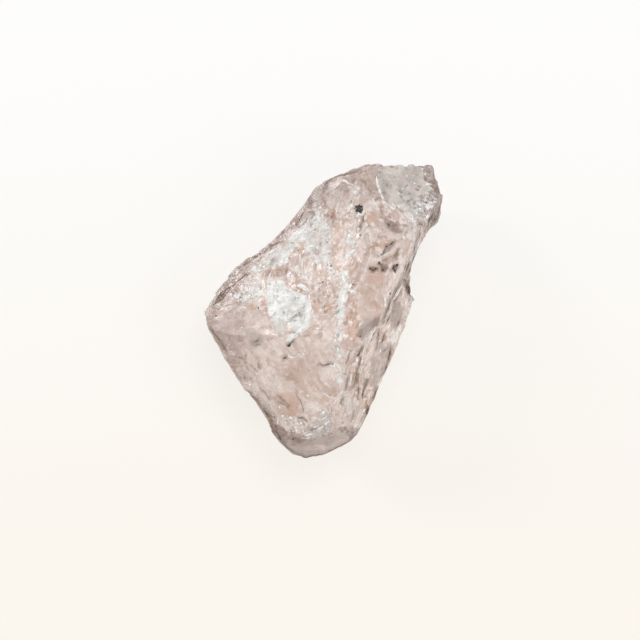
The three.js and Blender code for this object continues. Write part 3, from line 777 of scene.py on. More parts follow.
# %% Seams and splinters in plan
# path in mm, half width in mm
SEAMS = [
    # the north-west edge, from the tip, dark lines that are painted dark reflection
    ([(-9.9, 0.4), (-9.3, 0.9), (-8.8, 1.2), (-8.4, 1.8), (-8.0, 2.3)], 0.09),
    ([(-9.4, 1.1), (-8.9, 1.75), (-8.4, 2.15)], 0.07),
    ([(-8.2, 2.1), (-7.4, 2.75), (-6.9, 3.2), (-6.6, 3.35)], 0.1),
    ([(-7.1, 4.05), (-6.7, 4.3), (-6.3, 4.5)], 0.07),
    ([(-6.2, 4.75), (-5.8, 4.95), (-5.4, 5.2)], 0.1),
    ([(-5.2, 5.3), (-4.9, 5.5)], 0.07),
    ([(-4.75, 5.7), (-4.3, 5.9), (-4.0, 6.1), (-3.6, 6.2)], 0.13),
    ([(-4.0, 6.4), (-3.7, 6.8), (-3.4, 7.2)], 0.09),
    ([(-2.3, 7.7), (-2.0, 8.3), (-1.7, 8.9)], 0.09),
    ([(-2.0, 7.5), (-1.5, 7.9)], 0.07),
    ([(-1.15, 9.4), (-1.0, 9.7), (-1.1, 10.0)], 0.16),
    ([(-0.6, 8.9), (-0.85, 8.5), (-1.0, 8.1)], 0.09),
    ([(-0.95, 7.9), (-1.05, 7.5)], 0.06),
    ([(0.0, 10.8), (0.3, 11.3), (0.8, 11.8)], 0.15),
    ([(0.9, 11.9), (1.5, 12.1), (2.3, 12.2), (3.2, 12.5)], 0.06),
    # the crown
    ([(2.6, 11.5), (3.1, 11.8)], 0.04),
    ([(3.4, 11.7), (3.8, 11.3)], 0.04),
    ([(2.9, 10.2), (3.2, 10.4)], 0.04),
    ([(3.75, 8.5), (3.5, 7.9), (3.2, 7.3)], 0.1),
    ([(5.1, 9.1), (5.35, 8.7)], 0.06),
    ([(5.6, 7.9), (6.0, 7.6), (6.2, 7.5)], 0.13),
    ([(6.2, 7.2), (6.7, 7.0)], 0.07),
    # the stripes and the stains
    ([(6.4, 6.3), (6.1, 6.0), (5.8, 5.8)], 0.11),
    ([(5.7, 5.7), (5.4, 5.2), (5.1, 4.9)], 0.11),
    ([(6.8, 5.6), (6.6, 5.2), (6.3, 4.9)], 0.08),
    ([(4.1, 3.8), (4.5, 3.7), (4.85, 3.75)], 0.09),
    ([(4.9, 4.3), (5.1, 4.4)], 0.08),
    ([(5.15, 3.9), (5.4, 3.7), (5.6, 3.85)], 0.07),
    ([(5.5, 4.0), (5.7, 4.1)], 0.06),
    ([(6.2, 3.7), (6.4, 4.0), (6.65, 4.1)], 0.12),
    # the knob and the neck
    ([(10.45, 9.3), (10.2, 8.5), (9.9, 7.9)], 0.09),
    ([(10.0, 8.4), (9.8, 7.9), (9.5, 7.4)], 0.08),
    ([(9.7, 8.5), (9.5, 8.1), (9.35, 7.5)], 0.11),
    ([(9.2, 7.4), (9.0, 6.9)], 0.07),
    ([(8.7, 7.1), (8.5, 6.6), (8.4, 6.4)], 0.1),
    ([(9.3, 6.9), (9.0, 6.2)], 0.08),
    ([(8.5, 7.8), (8.8, 7.75), (9.0, 7.7)], 0.13),
    ([(8.3, 6.1), (8.15, 5.5), (8.0, 5.0)], 0.09),
    ([(8.5, 5.6), (8.1, 4.8), (7.9, 4.2)], 0.08),
    ([(7.75, 4.4), (7.5, 3.8), (7.3, 3.3)], 0.12),
    ([(7.9, 4.0), (7.6, 3.3), (7.4, 2.9)], 0.09),
    # painted shade in the notch
    ([(7.2, 2.9), (7.5, 2.6), (7.7, 2.1), (7.8, 1.4)], 0.22),
    ([(7.4, 2.4), (7.6, 1.7)], 0.12),
    ([(7.1, 2.6), (6.6, 1.9), (6.2, 1.2)], 0.09),
    ([(6.9, 1.6), (6.3, 0.9), (6.0, 0.3)], 0.09),
    ([(6.1, 1.1), (5.8, 0.3), (5.5, -0.5)], 0.11),
    ([(6.4, 0.2), (6.2, -0.4)], 0.09),
    ([(6.9, -0.8), (6.5, -1.4)], 0.16),
    ([(6.0, -0.3), (5.7, -1.0)], 0.09),
    # the drawn break in the south-east
    ([(4.7, -1.6), (4.45, -2.1), (4.3, -2.4)], 0.11),
    ([(5.5, -2.0), (5.3, -2.6), (5.2, -2.9)], 0.11),
    ([(5.0, -1.7), (4.9, -2.4)], 0.07),
    ([(4.9, -3.0), (4.75, -3.4)], 0.09),
    ([(3.6, -3.2), (3.3, -3.6), (3.0, -4.1)], 0.16),
    ([(3.5, -3.9), (3.3, -4.7), (3.15, -5.3)], 0.09),
    ([(3.1, -5.2), (2.9, -6.0), (2.7, -6.6)], 0.12),
    ([(2.3, -5.7), (2.15, -6.3), (2.0, -6.9)], 0.09),
    ([(2.4, -3.6), (2.2, -4.3), (2.0, -4.8)], 0.07),
    ([(4.0, -6.2), (3.7, -6.8), (3.5, -7.6)], 0.13),
    ([(3.7, -7.0), (3.5, -7.6)], 0.09),
    ([(4.9, -6.8), (4.6, -7.5), (4.4, -8.0)], 0.14),
    ([(3.95, -8.5), (4.05, -9.0), (3.9, -9.4)], 0.14),
    ([(6.1, -2.9), (6.0, -3.7), (5.8, -4.5)], 0.2),
    ([(5.8, -4.4), (5.55, -5.1), (5.3, -5.7)], 0.14),
    ([(5.7, -3.2), (5.4, -3.6)], 0.11),
    ([(3.2, -6.7), (3.1, -7.7)], 0.07),
    ([(2.85, -8.7), (2.7, -9.3), (2.55, -9.7)], 0.07),
    ([(1.75, -7.7), (1.65, -8.1), (1.75, -8.3)], 0.09),
    # the middle
    ([(-0.3, -4.7), (0.1, -4.8), (0.35, -4.7), (0.75, -4.6)], 0.09),
    ([(-3.5, -4.2), (-3.2, -4.0)], 0.09),
    ([(-3.1, -3.0), (-2.85, -2.85), (-2.5, -2.4)], 0.11),
    ([(-2.8, -0.75), (-2.5, -0.45), (-2.2, -0.2), (-1.9, 0.0)], 0.15),
    ([(-0.55, 5.25), (-0.35, 5.35)], 0.11),
    # the west lower break
    ([(-9.9, -1.4), (-9.5, -2.1), (-9.0, -2.7)], 0.1),
    ([(-8.9, -2.9), (-8.5, -3.6)], 0.07),
    ([(-6.1, -2.7), (-5.8, -2.6), (-5.6, -2.4)], 0.06),
    ([(-5.9, -2.9), (-5.4, -3.0)], 0.04),
    ([(-7.8, -4.0), (-7.2, -4.15), (-6.8, -4.6), (-6.6, -5.2)], 0.03),
    ([(-7.0, -5.8), (-6.8, -6.0)], 0.07),
    ([(-8.0, -4.9), (-7.6, -5.6), (-7.2, -6.2)], 0.04),
    ([(-5.75, -4.5), (-5.7, -4.9), (-5.5, -5.15)], 0.04),
    ([(-5.5, -6.7), (-5.0, -7.4), (-4.7, -7.8)], 0.04),
    # round and in the orange patch
    ([(-2.4, -7.2), (-1.95, -7.9), (-1.7, -8.6), (-1.7, -9.0)], 0.03),
    ([(-3.9, -7.5), (-3.4, -7.9), (-3.0, -8.3)], 0.07),
    ([(-3.8, -8.0), (-3.4, -8.25), (-3.0, -8.55)], 0.06),
    ([(-2.0, -9.4), (-1.7, -9.5)], 0.07),
    ([(-2.1, -9.7), (-1.7, -9.9)], 0.06),
    # the south-west edge and round the dome, a dark rim that is painted dark reflection
    ([(-6.7, -7.0), (-6.3, -7.5), (-5.9, -7.8), (-5.4, -8.4)], 0.11),
    ([(-5.3, -8.5), (-4.95, -9.1), (-4.6, -9.7), (-4.3, -10.3), (-3.9, -11.0), (-3.6, -11.5)], 0.17),
    ([(-3.6, -11.6), (-3.1, -12.1), (-2.5, -12.5)], 0.1),
    ([(-2.4, -12.6), (-1.6, -12.95), (-0.8, -13.0), (0.2, -12.85)], 0.13),
    ([(0.1, -12.8), (0.9, -12.5), (1.6, -12.1), (2.2, -11.7)], 0.13),
    ([(2.0, -11.9), (2.5, -11.3), (3.0, -10.8)], 0.08),
    ([(3.2, -10.6), (3.6, -10.0), (3.9, -9.4)], 0.07),
]
# white lines: splinters, and also painted glints
SPLINTERS_AND_GLINTS = [
    # the shell's rim and the crown's step
    ([(4.82, 12.1), (4.8, 11.7), (4.87, 11.2)], 0.08),
    ([(5.05, 10.8), (5.2, 10.5)], 0.09),
    ([(5.2, 10.35), (5.3, 10.0)], 0.08),
    ([(5.4, 9.8), (5.6, 9.6)], 0.15),
    ([(5.9, 9.35), (6.3, 9.1), (6.6, 9.0)], 0.07),
    ([(6.1, 9.8), (6.3, 9.4), (6.6, 9.1)], 0.04),
    ([(6.7, 8.9), (7.2, 8.3), (7.6, 7.6)], 0.03),
    ([(7.95, 8.6), (8.0, 7.9)], 0.06),
    ([(8.4, 9.7), (8.8, 9.35)], 0.05),
    ([(4.3, 10.2), (4.7, 9.6), (5.0, 9.0)], 0.035),
    ([(7.1, 6.8), (7.3, 6.3)], 0.07),
    ([(8.0, 7.0), (8.3, 6.6)], 0.06),
    ([(1.75, 11.65), (2.1, 11.5)], 0.12),
    ([(2.2, 11.5), (2.8, 11.2)], 0.03),
    # the shelf
    ([(-1.6, 5.65), (-1.1, 5.75), (-0.75, 5.85)], 0.1),
    ([(-1.9, 5.2), (-2.05, 4.6)], 0.06),
    ([(-1.75, 4.6), (-1.8, 3.8)], 0.07),
    ([(-5.0, 5.0), (-4.3, 5.4), (-3.8, 5.8)], 0.07),
    ([(-6.5, 4.3), (-5.9, 4.6), (-5.5, 4.85)], 0.06),
    ([(-3.8, 4.4), (-3.5, 4.3), (-3.15, 4.6), (-3.1, 4.9)], 0.1),
    ([(-4.5, 3.6), (-4.7, 3.2), (-4.8, 2.95)], 0.06),
    ([(-3.1, 3.3), (-2.7, 3.4)], 0.12),
    ([(-2.4, 6.6), (-1.9, 7.1), (-1.5, 7.5)], 0.1),
    ([(-3.0, 6.3), (-2.5, 6.8), (-2.1, 7.2)], 0.12),
    ([(-1.2, 7.4), (-1.3, 6.9)], 0.07),
    # round the pan
    ([(-1.2, 1.5), (-1.1, 0.9), (-1.05, 0.2), (-1.15, -0.4)], 0.08),
    ([(-2.3, 2.2), (-1.8, 2.3), (-1.3, 1.9)], 0.1),
    ([(-1.0, -1.2), (-1.5, -1.6), (-2.1, -2.0)], 0.06),
    ([(-1.0, -0.6), (-0.6, -0.5)], 0.07),
    # the ridge
    ([(2.4, 6.9), (2.2, 6.4)], 0.07),
    ([(2.95, 5.55), (2.6, 5.2), (2.3, 5.0)], 0.14),
    ([(2.15, 4.5), (2.05, 4.2)], 0.1),
    ([(1.8, 3.5), (1.85, 3.0), (2.0, 2.5)], 0.12),
    ([(2.0, 2.3), (2.1, 1.9)], 0.16),
    ([(2.1, 1.9), (2.6, 1.8), (3.1, 1.65)], 0.09),
    ([(1.8, 1.7), (1.85, 1.0), (1.7, 0.4)], 0.15),
    ([(2.25, 0.5), (2.5, 0.55)], 0.1),
    ([(1.7, -0.8), (1.75, -1.1)], 0.12),
    ([(1.5, -1.4), (1.7, -1.6)], 0.12),
    ([(1.2, -2.4), (1.0, -2.8)], 0.08),
    ([(1.35, -3.1), (1.35, -3.7)], 0.09),
    ([(0.9, -4.8), (1.2, -4.9)], 0.1),
    ([(1.5, -4.9), (1.55, -5.3)], 0.08),
    # the east break and the drawn break
    ([(5.5, 1.3), (5.6, 0.8), (5.5, 0.3)], 0.13),
    ([(5.0, 4.75), (5.4, 4.95), (5.9, 5.3)], 0.05),
    ([(4.7, 5.3), (5.2, 4.9)], 0.05),
    ([(4.75, -1.35), (4.4, -2.0), (4.15, -2.6)], 0.09),
    ([(5.9, -1.25), (5.7, -1.55)], 0.1),
    ([(6.9, -1.3), (6.6, -2.0), (6.35, -2.8)], 0.12),
    ([(6.2, -2.5), (5.9, -2.7)], 0.08),
    ([(5.2, -3.25), (5.0, -3.75)], 0.09),
    ([(3.8, -3.0), (3.65, -3.5), (3.55, -4.0)], 0.06),
    ([(3.1, -4.15), (2.95, -4.65)], 0.12),
    ([(3.35, -4.9), (3.4, -5.35)], 0.09),
    ([(2.65, -5.7), (2.4, -6.5)], 0.07),
    ([(2.75, -6.75), (2.95, -6.65)], 0.11),
    ([(3.4, -6.9), (3.4, -7.4)], 0.06),
    ([(3.5, -8.9), (3.75, -8.6)], 0.13),
    # the notch and the knob
    ([(7.5, 1.2), (7.3, 0.4)], 0.07),
    ([(7.1, 2.3), (6.6, 1.5), (6.3, 1.0)], 0.06),
    ([(8.0, 11.3), (8.3, 11.4)], 0.1),
    ([(9.1, 11.3), (9.7, 11.3)], 0.12),
    ([(9.2, 8.3), (9.4, 8.6)], 0.14),
    ([(8.6, 6.3), (8.4, 5.6)], 0.06),
    ([(10.2, 8.2), (9.9, 7.4)], 0.05),
    # the west lower break
    ([(-3.1, -3.7), (-2.95, -4.05), (-2.4, -4.1)], 0.05),
    ([(-1.75, -3.6), (-1.6, -4.0)], 0.06),
    ([(0.1, -7.2), (0.5, -7.5), (0.9, -7.8)], 0.05),
    # the dome's silver patch
    ([(-1.9, -10.9), (-1.2, -10.6)], 0.05),
    ([(-1.6, -11.05), (-0.8, -10.8)], 0.06),
    ([(-0.9, -10.3), (-0.3, -10.1)], 0.05),
    ([(-0.5, -10.5), (0.2, -10.2)], 0.06),
    ([(-0.2, -9.7), (0.4, -9.3)], 0.05),
    ([(0.1, -10.0), (0.7, -9.7)], 0.05),
    ([(0.3, -10.6), (0.9, -10.3)], 0.05),
    ([(-0.1, -9.1), (0.2, -8.9)], 0.1),
]

# %% Painted shade and highlights on the drawn-out breaks
# path in mm, half width in mm, strength
# painted shade on the steps of the drawn-out breaks; the last three are brown smudges on the east and west breaks
SHADE_AND_SMUDGE_BANDS = [
    ([(3.6, -3.2), (3.1, -3.9), (2.9, -4.4)], 0.24, 0.65),
    ([(3.35, -4.0), (3.2, -5.2), (3.0, -6.3), (2.7, -6.6)], 0.2, 0.65),
    ([(3.9, -6.0), (3.6, -6.9), (3.45, -7.6)], 0.22, 0.65),
    ([(2.5, -5.4), (2.3, -6.1), (2.1, -6.8)], 0.14, 0.5),
    ([(4.9, -6.8), (4.4, -8.2)], 0.2, 0.5),
    ([(2.3, -3.6), (2.0, -4.6)], 0.13, 0.4),
    ([(4.9, -1.9), (4.9, -2.8)], 0.16, 0.5),
    ([(4.65, -1.6), (4.35, -2.5)], 0.17, 0.6),
    ([(7.2, 3.4), (6.9, 2.6), (6.5, 1.9), (6.2, 1.3), (5.9, 0.5), (5.6, -0.3), (5.3, -1.0)], 0.16, 0.55),
    ([(7.0, 2.0), (6.6, 1.3), (6.3, 0.6)], 0.12, 0.5),
    ([(7.9, 4.4), (7.6, 3.7), (7.4, 3.1)], 0.2, 0.5),
    ([(3.4, -1.9), (3.4, -2.3), (3.8, -2.1)], 0.3, 0.35),
    ([(3.5, -1.9), (4.1, -1.4), (4.8, -0.8)], 0.6, 0.55),
    ([(-6.1, -2.8), (-5.6, -2.5)], 0.6, 0.25),
]
# painted highlights along the steps of the drawn-out breaks
HIGHLIGHT_BANDS = [
    ([(4.75, -1.35), (4.4, -2.0), (4.1, -2.6)], 0.16, 1),
    ([(6.9, -1.3), (6.6, -2.0), (6.25, -2.8)], 0.24, 1),
    ([(5.9, -1.2), (5.65, -1.6)], 0.18, 1),
    ([(3.85, -3.0), (3.6, -3.8), (3.45, -4.6)], 0.15, 1),
    ([(3.1, -4.1), (2.9, -4.7)], 0.2, 1),
    ([(3.35, -4.9), (3.35, -5.4)], 0.17, 1),
    ([(2.6, -5.6), (2.35, -6.5)], 0.16, 1),
    ([(3.5, -6.6), (3.35, -7.6)], 0.13, 1),
    ([(2.2, -3.5), (2.0, -4.8)], 0.09, 0.9),
    ([(7.1, 2.4), (6.6, 1.6), (6.3, 1.0), (6.0, 0.1)], 0.1, 0.9),
    ([(7.4, 4.6), (7.0, 3.6), (6.6, 2.7)], 0.16, 0.6),
    ([(2.6, -7.8), (2.4, -8.9)], 0.3, 0.9),
]

# %% The map on the skin
STAIN_WIDTH = 2.6  # of a seam's tinge, in half widths of the seam
STAIN_STRENGTH = 0.32
LINE_CORE = 0.3  # share of a line's half width that has its full strength
UPWARD = (0.0, 0.2)  # how far up the skin faces, where the map begins and is whole
STRAY = 0.10  # mm by which the edges of lines and areas wander
STRAY_SIZE = 0.5  # mm
SOFT_FROST = 0.08  # mm, half the width of an area's edge
SOFT_TONE = 0.12  # mm
SOFT_MARK = 0.1  # mm
ROUGH_SIDES = 0.55  # frost of the rough patches on the walls
ROUGH_SIZE = 2.2  # mm
CLEAR_FOOT = (0.4, 0.9)  # mm above the floor, where those patches begin and are whole


def field(points, top, lines, areas, soft):
    """The strongest of the lines and areas at each point of the upper side."""
    value = np.zeros(len(points))
    for _, path, width, strength in lines:
        value = np.maximum(value, strength * span(-to_line(points, path), -width, -width * LINE_CORE))
    for _, outline, strength in areas:
        value = np.maximum(value, strength * span(within(points, outline), -soft, soft))
    return value * top


def facings(mesh):
    flat = np.zeros(len(mesh.vertices) * 3, np.float32)
    mesh.vertex_normals.foreach_get("vector", flat)
    return flat.reshape(-1, 3)


top = span(facings(stone.data)[:, 2], *UPWARD)
strayed = as_seen(points)
for axis, seed in ((0, 1), (1, 2)):
    strayed[:, axis] += STRAY * wavering(points, STRAY_SIZE, seed)
frost = field(strayed, top, FROST_LINES, FROST_AREAS, SOFT_FROST)
off_the_floor = span(points[:, 2], *CLEAR_FOOT)
rough_sides = ROUGH_SIDES * span(wavering(points, ROUGH_SIZE, 3), 0.1, 0.6) * (1 - top) * off_the_floor
keep(stone.data, "frost", np.maximum(frost, rough_sides))
for name, areas in {"pale": PALE_AREAS, "warm": WARM_AREAS, "grey": GREY_AREAS}.items():
    keep(stone.data, name, field(strayed, top, [], areas, SOFT_TONE))
# the dark map: stains beside the seams and brown areas, and painted shade and painted dark reflection where marked
stains = [("seam", path, half * STAIN_WIDTH, STAIN_STRENGTH) for path, half in SEAMS]
# the dark bands add painted shade on the drawn breaks' steps, and brown smudges
stains += [("band", *band) for band in SHADE_AND_SMUDGE_BANDS]
keep(stone.data, "dark", field(strayed, top, stains, DARK_AREAS, SOFT_MARK))
# the gleam map holds the painted highlights of the pale bands
keep(stone.data, "gleam", field(strayed, top, [("band", *band) for band in HIGHLIGHT_BANDS], [], SOFT_MARK))
print("frosted share of the skin:", round(float((frost > 0.5).mean()), 3))

# %% [markdown]
# ## The stone's material
# Beryl is clear, so this is glass with beryl's refractive index, and its pink comes from absorption: light loses a
# little green and blue for each millimetre it travels inside. Real chips also look lighter or darker than their
# neighbours, because each bends the light its own way. That is painted light and shade here: a random number for
# each chip, kept on the skin, makes the base colour lighter or darker there.
# Frost is a crushed surface, whiter and rougher, and a patch that broke smooth is plainer and a little duller. Two
# node groups serve all the materials: one makes clouds and one makes angular crumbs, each of a given size. Everything
# that varies feeds base colour, roughness or bump only.

# %% Mottle and crumb groups


def new_material(name):
    """A material, its tree, its shader, and the place in the object's own coordinates."""
    material = bpy.data.materials.new(name)
    material.use_nodes = True
    tree = material.node_tree
    place = add(tree, "ShaderNodeTexCoord").outputs["Object"]
    return material, tree, tree.nodes["Principled BSDF"], place


def stored(tree, name, output="Fac"):
    """What the mesh keeps under that name."""
    return add(tree, "ShaderNodeAttribute", attribute_name=name).outputs[output]


def new_group(name, inputs):
    """A shader node group with a vector and the named numbers in, and one number out."""
    tree = bpy.data.node_groups.new(name, "ShaderNodeTree")
    tree.interface.new_socket("Vector", in_out="INPUT", socket_type="NodeSocketVector")
    for label, value in inputs.items():
        tree.interface.new_socket(label, in_out="INPUT", socket_type="NodeSocketFloat").default_value = value
    tree.interface.new_socket("Value", in_out="OUTPUT", socket_type="NodeSocketFloat")
    return tree, tree.nodes.new("NodeGroupInput").outputs, tree.nodes.new("NodeGroupOutput").inputs


def mottle_group():
    """Clouds with soft or sharp edges: a value from 0 to 1."""
    tree, given, made = new_group("mottle", {"Size": 1.0, "Low": 0.4, "High": 0.6})
    scale = math_of(tree, "DIVIDE", 1.0, given["Size"])
    cloud = add(tree, "ShaderNodeTexNoise", {"Vector": given["Vector"], "Scale": scale, "Detail": 5.0}).outputs["Fac"]
    tree.links.new(remap(tree, cloud, given["Low"], given["High"]), made["Value"])
    return tree


def crumb_group():
    """Angular crumbs with bent edges: a number from 0 to 1, the same all over a crumb."""
    tree, given, made = new_group("crumbs", {"Size": 1.0})
    place = vector_of(tree, "SCALE", given["Vector"], scale=math_of(tree, "DIVIDE", 1.0, given["Size"]))
    bend = add(tree, "ShaderNodeTexNoise", {"Vector": place, "Scale": 1.0, "Detail": 3.0}).outputs["Color"]
    bent = vector_of(tree, "ADD", place, bend)
    cells = add(tree, "ShaderNodeTexVoronoi", {"Vector": bent, "Scale": 1.0}, feature="F1").outputs["Color"]
    tree.links.new(add(tree, "ShaderNodeSeparateXYZ", {"Vector": cells}).outputs["X"], made["Value"])
    return tree


mottle = mottle_group()
crumb = crumb_group()


def from_group(tree, group, inputs):
    node = tree.nodes.new("ShaderNodeGroup")
    node.node_tree = group
    for name, value in inputs.items():
        if isinstance(value, bpy.types.NodeSocket):
            tree.links.new(value, node.inputs[name])
        else:
            node.inputs[name].default_value = value
    return node.outputs["Value"]


def mottled(tree, place, size, low, high):
    return from_group(tree, mottle, {"Vector": place, "Size": size, "Low": low, "High": high})


def crumbs_of(tree, place, size, low, high, to_low=0.0):
    """From to_low to 1, by each crumb's own number between low and high."""
    return remap(tree, from_group(tree, crumb, {"Vector": place, "Size": size}), low, high, to_low)


def crumbled(tree, place):
    """How thick the frost lies: its map broken up into crumbs and holes."""
    frost = stored(tree, "frost")
    crumbs = crumbs_of(tree, place, 0.3 * MM, 0.0, 1.0)
    holes = mottled(tree, place, 0.9 * MM, 0.35, 0.65)
    broken = math_of(tree, "ADD", math_of(tree, "MULTIPLY", crumbs, 0.45), math_of(tree, "MULTIPLY", holes, 0.35))
    return math_of(tree, "ADD", frost, math_of(tree, "SUBTRACT", broken, 0.15))


# %% Morganite
# the first and third colours are the stone's pink as painted light and painted shade on the chips
PINK_LIT = (0.86, 0.765, 0.725, 1)
ROSE = (0.75, 0.63, 0.58, 1)
PINK_SHADED = (0.62, 0.465, 0.405, 1)
# milky white for pale areas, crumbs and worn edges, and for painted highlights along the drawn breaks
MILK_AND_GLEAM = (0.97, 0.92, 0.895, 1)
WARM = (0.67, 0.37, 0.235, 1)
GREY = (0.70, 0.66, 0.63, 1)
SMOKE = (0.47, 0.41, 0.39, 1)
GLEAMING = (1.0, 0.97, 0.95, 1)
FROSTED = (0.98, 0.98, 0.975, 1)
# dark brown for real stains, and for painted shade and painted dark reflection
STAIN_AND_SHADE = (0.11, 0.062, 0.042, 1)
# brown for painted shade on the drawn breaks' steps and for the stone's own small flecks
SHADE_AND_FLECK_BROWN = (0.35, 0.235, 0.18, 1)
BERYL_INDEX = 1.58
CLEARNESS = 0.8
INNER_PINK = (0.92, 0.80, 0.76, 1)
INNER_DENSITY = 38.0  # how fast light turns pink on its way, for each metre
FROST_EDGE = (0.8, 1.2)  # frost at which the skin begins to turn white and is all white
RELIEF_SIZE = 0.5 * MM
RELIEF_HEIGHT = 0.12 * MM


def morganite():
    material, tree, shader, place = new_material("morganite")
    kept = partial(stored, tree)
    frost = remap(tree, crumbled(tree, place), *FROST_EDGE)
    # painted light and shade: each chip's random number makes the pink lighter or darker, for the way it bends light
    shade = math_of(tree, "ADD", math_of(tree, "MULTIPLY", kept("chip_light_and_shade"), 0.6),
                    math_of(tree, "MULTIPLY", kept("small_light_and_shade"), 0.4))
    colour = blend(tree, remap(tree, shade, 0.25, 0.75), PINK_LIT, PINK_SHADED)
    colour = blend(tree, remap(tree, kept("lively"), 0.0, 1.0, 0.55, 1.0), ROSE, colour)
    grain = kept("chip_space", "Vector")
    # painted shade and painted highlights: dark and pale streaks along the grain of drawn-out breaks, for their steps
    weight = remap(tree, kept("drawn"), 0.0, 1.0, 0.25, 0.85)
    streaks = mottled(tree, grain, 0.5, 0.46, 0.66)
    colour = blend(tree, math_of(tree, "MULTIPLY", streaks, weight), colour, SHADE_AND_FLECK_BROWN)
    gleams = mottled(tree, grain, 0.35, 0.52, 0.66)
    colour = blend(tree, math_of(tree, "MULTIPLY", gleams, weight), colour, MILK_AND_GLEAM)
    patches = crumbs_of(tree, place, 1.1 * MM, 0.0, 1.0, 0.3)
    colour = blend(tree, math_of(tree, "MULTIPLY", kept("pale"), patches), colour, MILK_AND_GLEAM)
    colour = blend(tree, math_of(tree, "MULTIPLY", kept("warm"), patches), colour, WARM)
    flecks = math_of(tree, "MULTIPLY", crumbs_of(tree, place, 0.4 * MM, 0.85, 0.9), kept("lively"))
    colour = blend(tree, math_of(tree, "MULTIPLY", flecks, 0.7), colour, SHADE_AND_FLECK_BROWN)
    white = crumbs_of(tree, vector_of(tree, "ADD", place, (0.1, 0, 0)), 0.35 * MM, 0.76, 0.8)
    colour = blend(tree, math_of(tree, "MULTIPLY", white, kept("lively")), colour, MILK_AND_GLEAM)
    smoky = blend(tree, mottled(tree, place, 1.0 * MM, 0.35, 0.65), GREY, SMOKE)
    colour = blend(tree, kept("grey"), colour, smoky)
    worn = math_of(tree, "MAXIMUM", kept("chip_edge"), math_of(tree, "MULTIPLY", kept("small_edge"), 0.7))
    worn = math_of(tree, "MULTIPLY", worn, mottled(tree, place, 1.5 * MM, 0.4, 0.6))
    worn = math_of(tree, "MULTIPLY", worn, kept("lively"))
    colour = blend(tree, math_of(tree, "MULTIPLY", worn, 0.8), colour, MILK_AND_GLEAM)
    colour = blend(tree, frost, colour, FROSTED)
    # the dark map darkens the skin for stains, and as painted shade and painted dark reflection
    # light that crosses the skin takes only the root of its colour, so a mark goes in twice as strong
    bare = math_of(tree, "SUBTRACT", 1.0, kept("dark"))
    colour = blend(tree, math_of(tree, "MULTIPLY", bare, bare), STAIN_AND_SHADE, colour)
    # painted highlights along the drawn breaks' steps
    colour = blend(tree, kept("gleam"), colour, GLEAMING)
    tree.links.new(colour, shader.inputs["Base Color"])
    haze = mottled(tree, place, 2.0 * MM, 0.4, 0.7)
    rough = math_of(tree, "ADD", math_of(tree, "MULTIPLY", haze, 0.15), 0.14)
    rough = math_of(tree, "ADD", rough, math_of(tree, "MULTIPLY", frost, 0.4))
    rough = math_of(tree, "ADD", rough, math_of(tree, "MULTIPLY", kept("grey"), 0.2))
    rough = math_of(tree, "ADD", rough, remap(tree, kept("lively"), 1.0, 0.0, 0.0, 0.12))
    tree.links.new(rough, shader.inputs["Roughness"])
    shader.inputs["IOR"].default_value = BERYL_INDEX
    shader.inputs["Transmission Weight"].default_value = CLEARNESS
    relief = add(tree, "ShaderNodeTexNoise", {"Vector": place, "Scale": 1 / RELIEF_SIZE, "Detail": 6.0})
    bump = add(tree, "ShaderNodeBump", {"Height": relief.outputs["Fac"], "Strength": 0.6, "Distance": RELIEF_HEIGHT})
    tree.links.new(bump.outputs["Normal"], shader.inputs["Normal"])
    depth = add(tree, "ShaderNodeVolumeAbsorption", {"Color": INNER_PINK, "Density": INNER_DENSITY})
    tree.links.new(depth.outputs["Volume"], tree.nodes["Material Output"].inputs["Volume"])
    return material


stone.data.materials.clear()
stone.data.materials.append(morganite())
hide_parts("crystal")
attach(stone, "root")
print("stone material:", stone.data.materials[0].name)

# %% [markdown]
# ## The crushed layer, and the pan's painted reflection
# Along the ridge and in the pan the stone is crushed to a white, silvery crust. In the pan that white is also a
# painted reflection of the light, and the crust's grey streaks and facets are partly painted shade of the pan's
# relief. The crust could be painted in the base colour, but under clear stone white turns to grey. Here the skin's
# own faces are copied where the frost map says so, lifted by a little over a hundredth of a millimetre, and given a
# thickness. The edge is cut by the material's alpha, which is sharper than any mesh this size could be. Where the
# warm map is strong, the crust is pink.

# %% Crushed layer
CRUSH_LIFT = 0.015 * MM
CRUSH_THICKNESS = 0.01 * MM
CRUSH_FROST = 0.4  # the least frost at which the skin is copied
CRUSHED_LIGHT = (0.90, 0.90, 0.88, 1)
CRUSHED_DEEP = (0.47, 0.455, 0.43, 1)
CRUSHED_GREY = (0.65, 0.595, 0.55, 1)
CRUSHED_SMOKE = (0.41, 0.37, 0.345, 1)
CRUSHED_ROSE = (0.64, 0.51, 0.46, 1)
CRUSHED_PINK = (0.72, 0.56, 0.49, 1)
CRUSHED_CLEFT = (0.22, 0.17, 0.14, 1)
CRUSHED_COVER = 0.92
CRUSHED_EDGE = (1.03, 1.13)  # frost at which the crust begins and is whole
STREAK_TURN = math.radians(-35)


def drawn_out(tree, place, turn, length):
    """The place with its scale shrunk along one way in plan, so that what is read there comes out drawn out."""
    inputs = {"Vector": place, "Rotation": (0, 0, -turn), "Scale": (1 / length, 1, 1)}
    return add(tree, "ShaderNodeMapping", inputs, vector_type="POINT").outputs["Vector"]


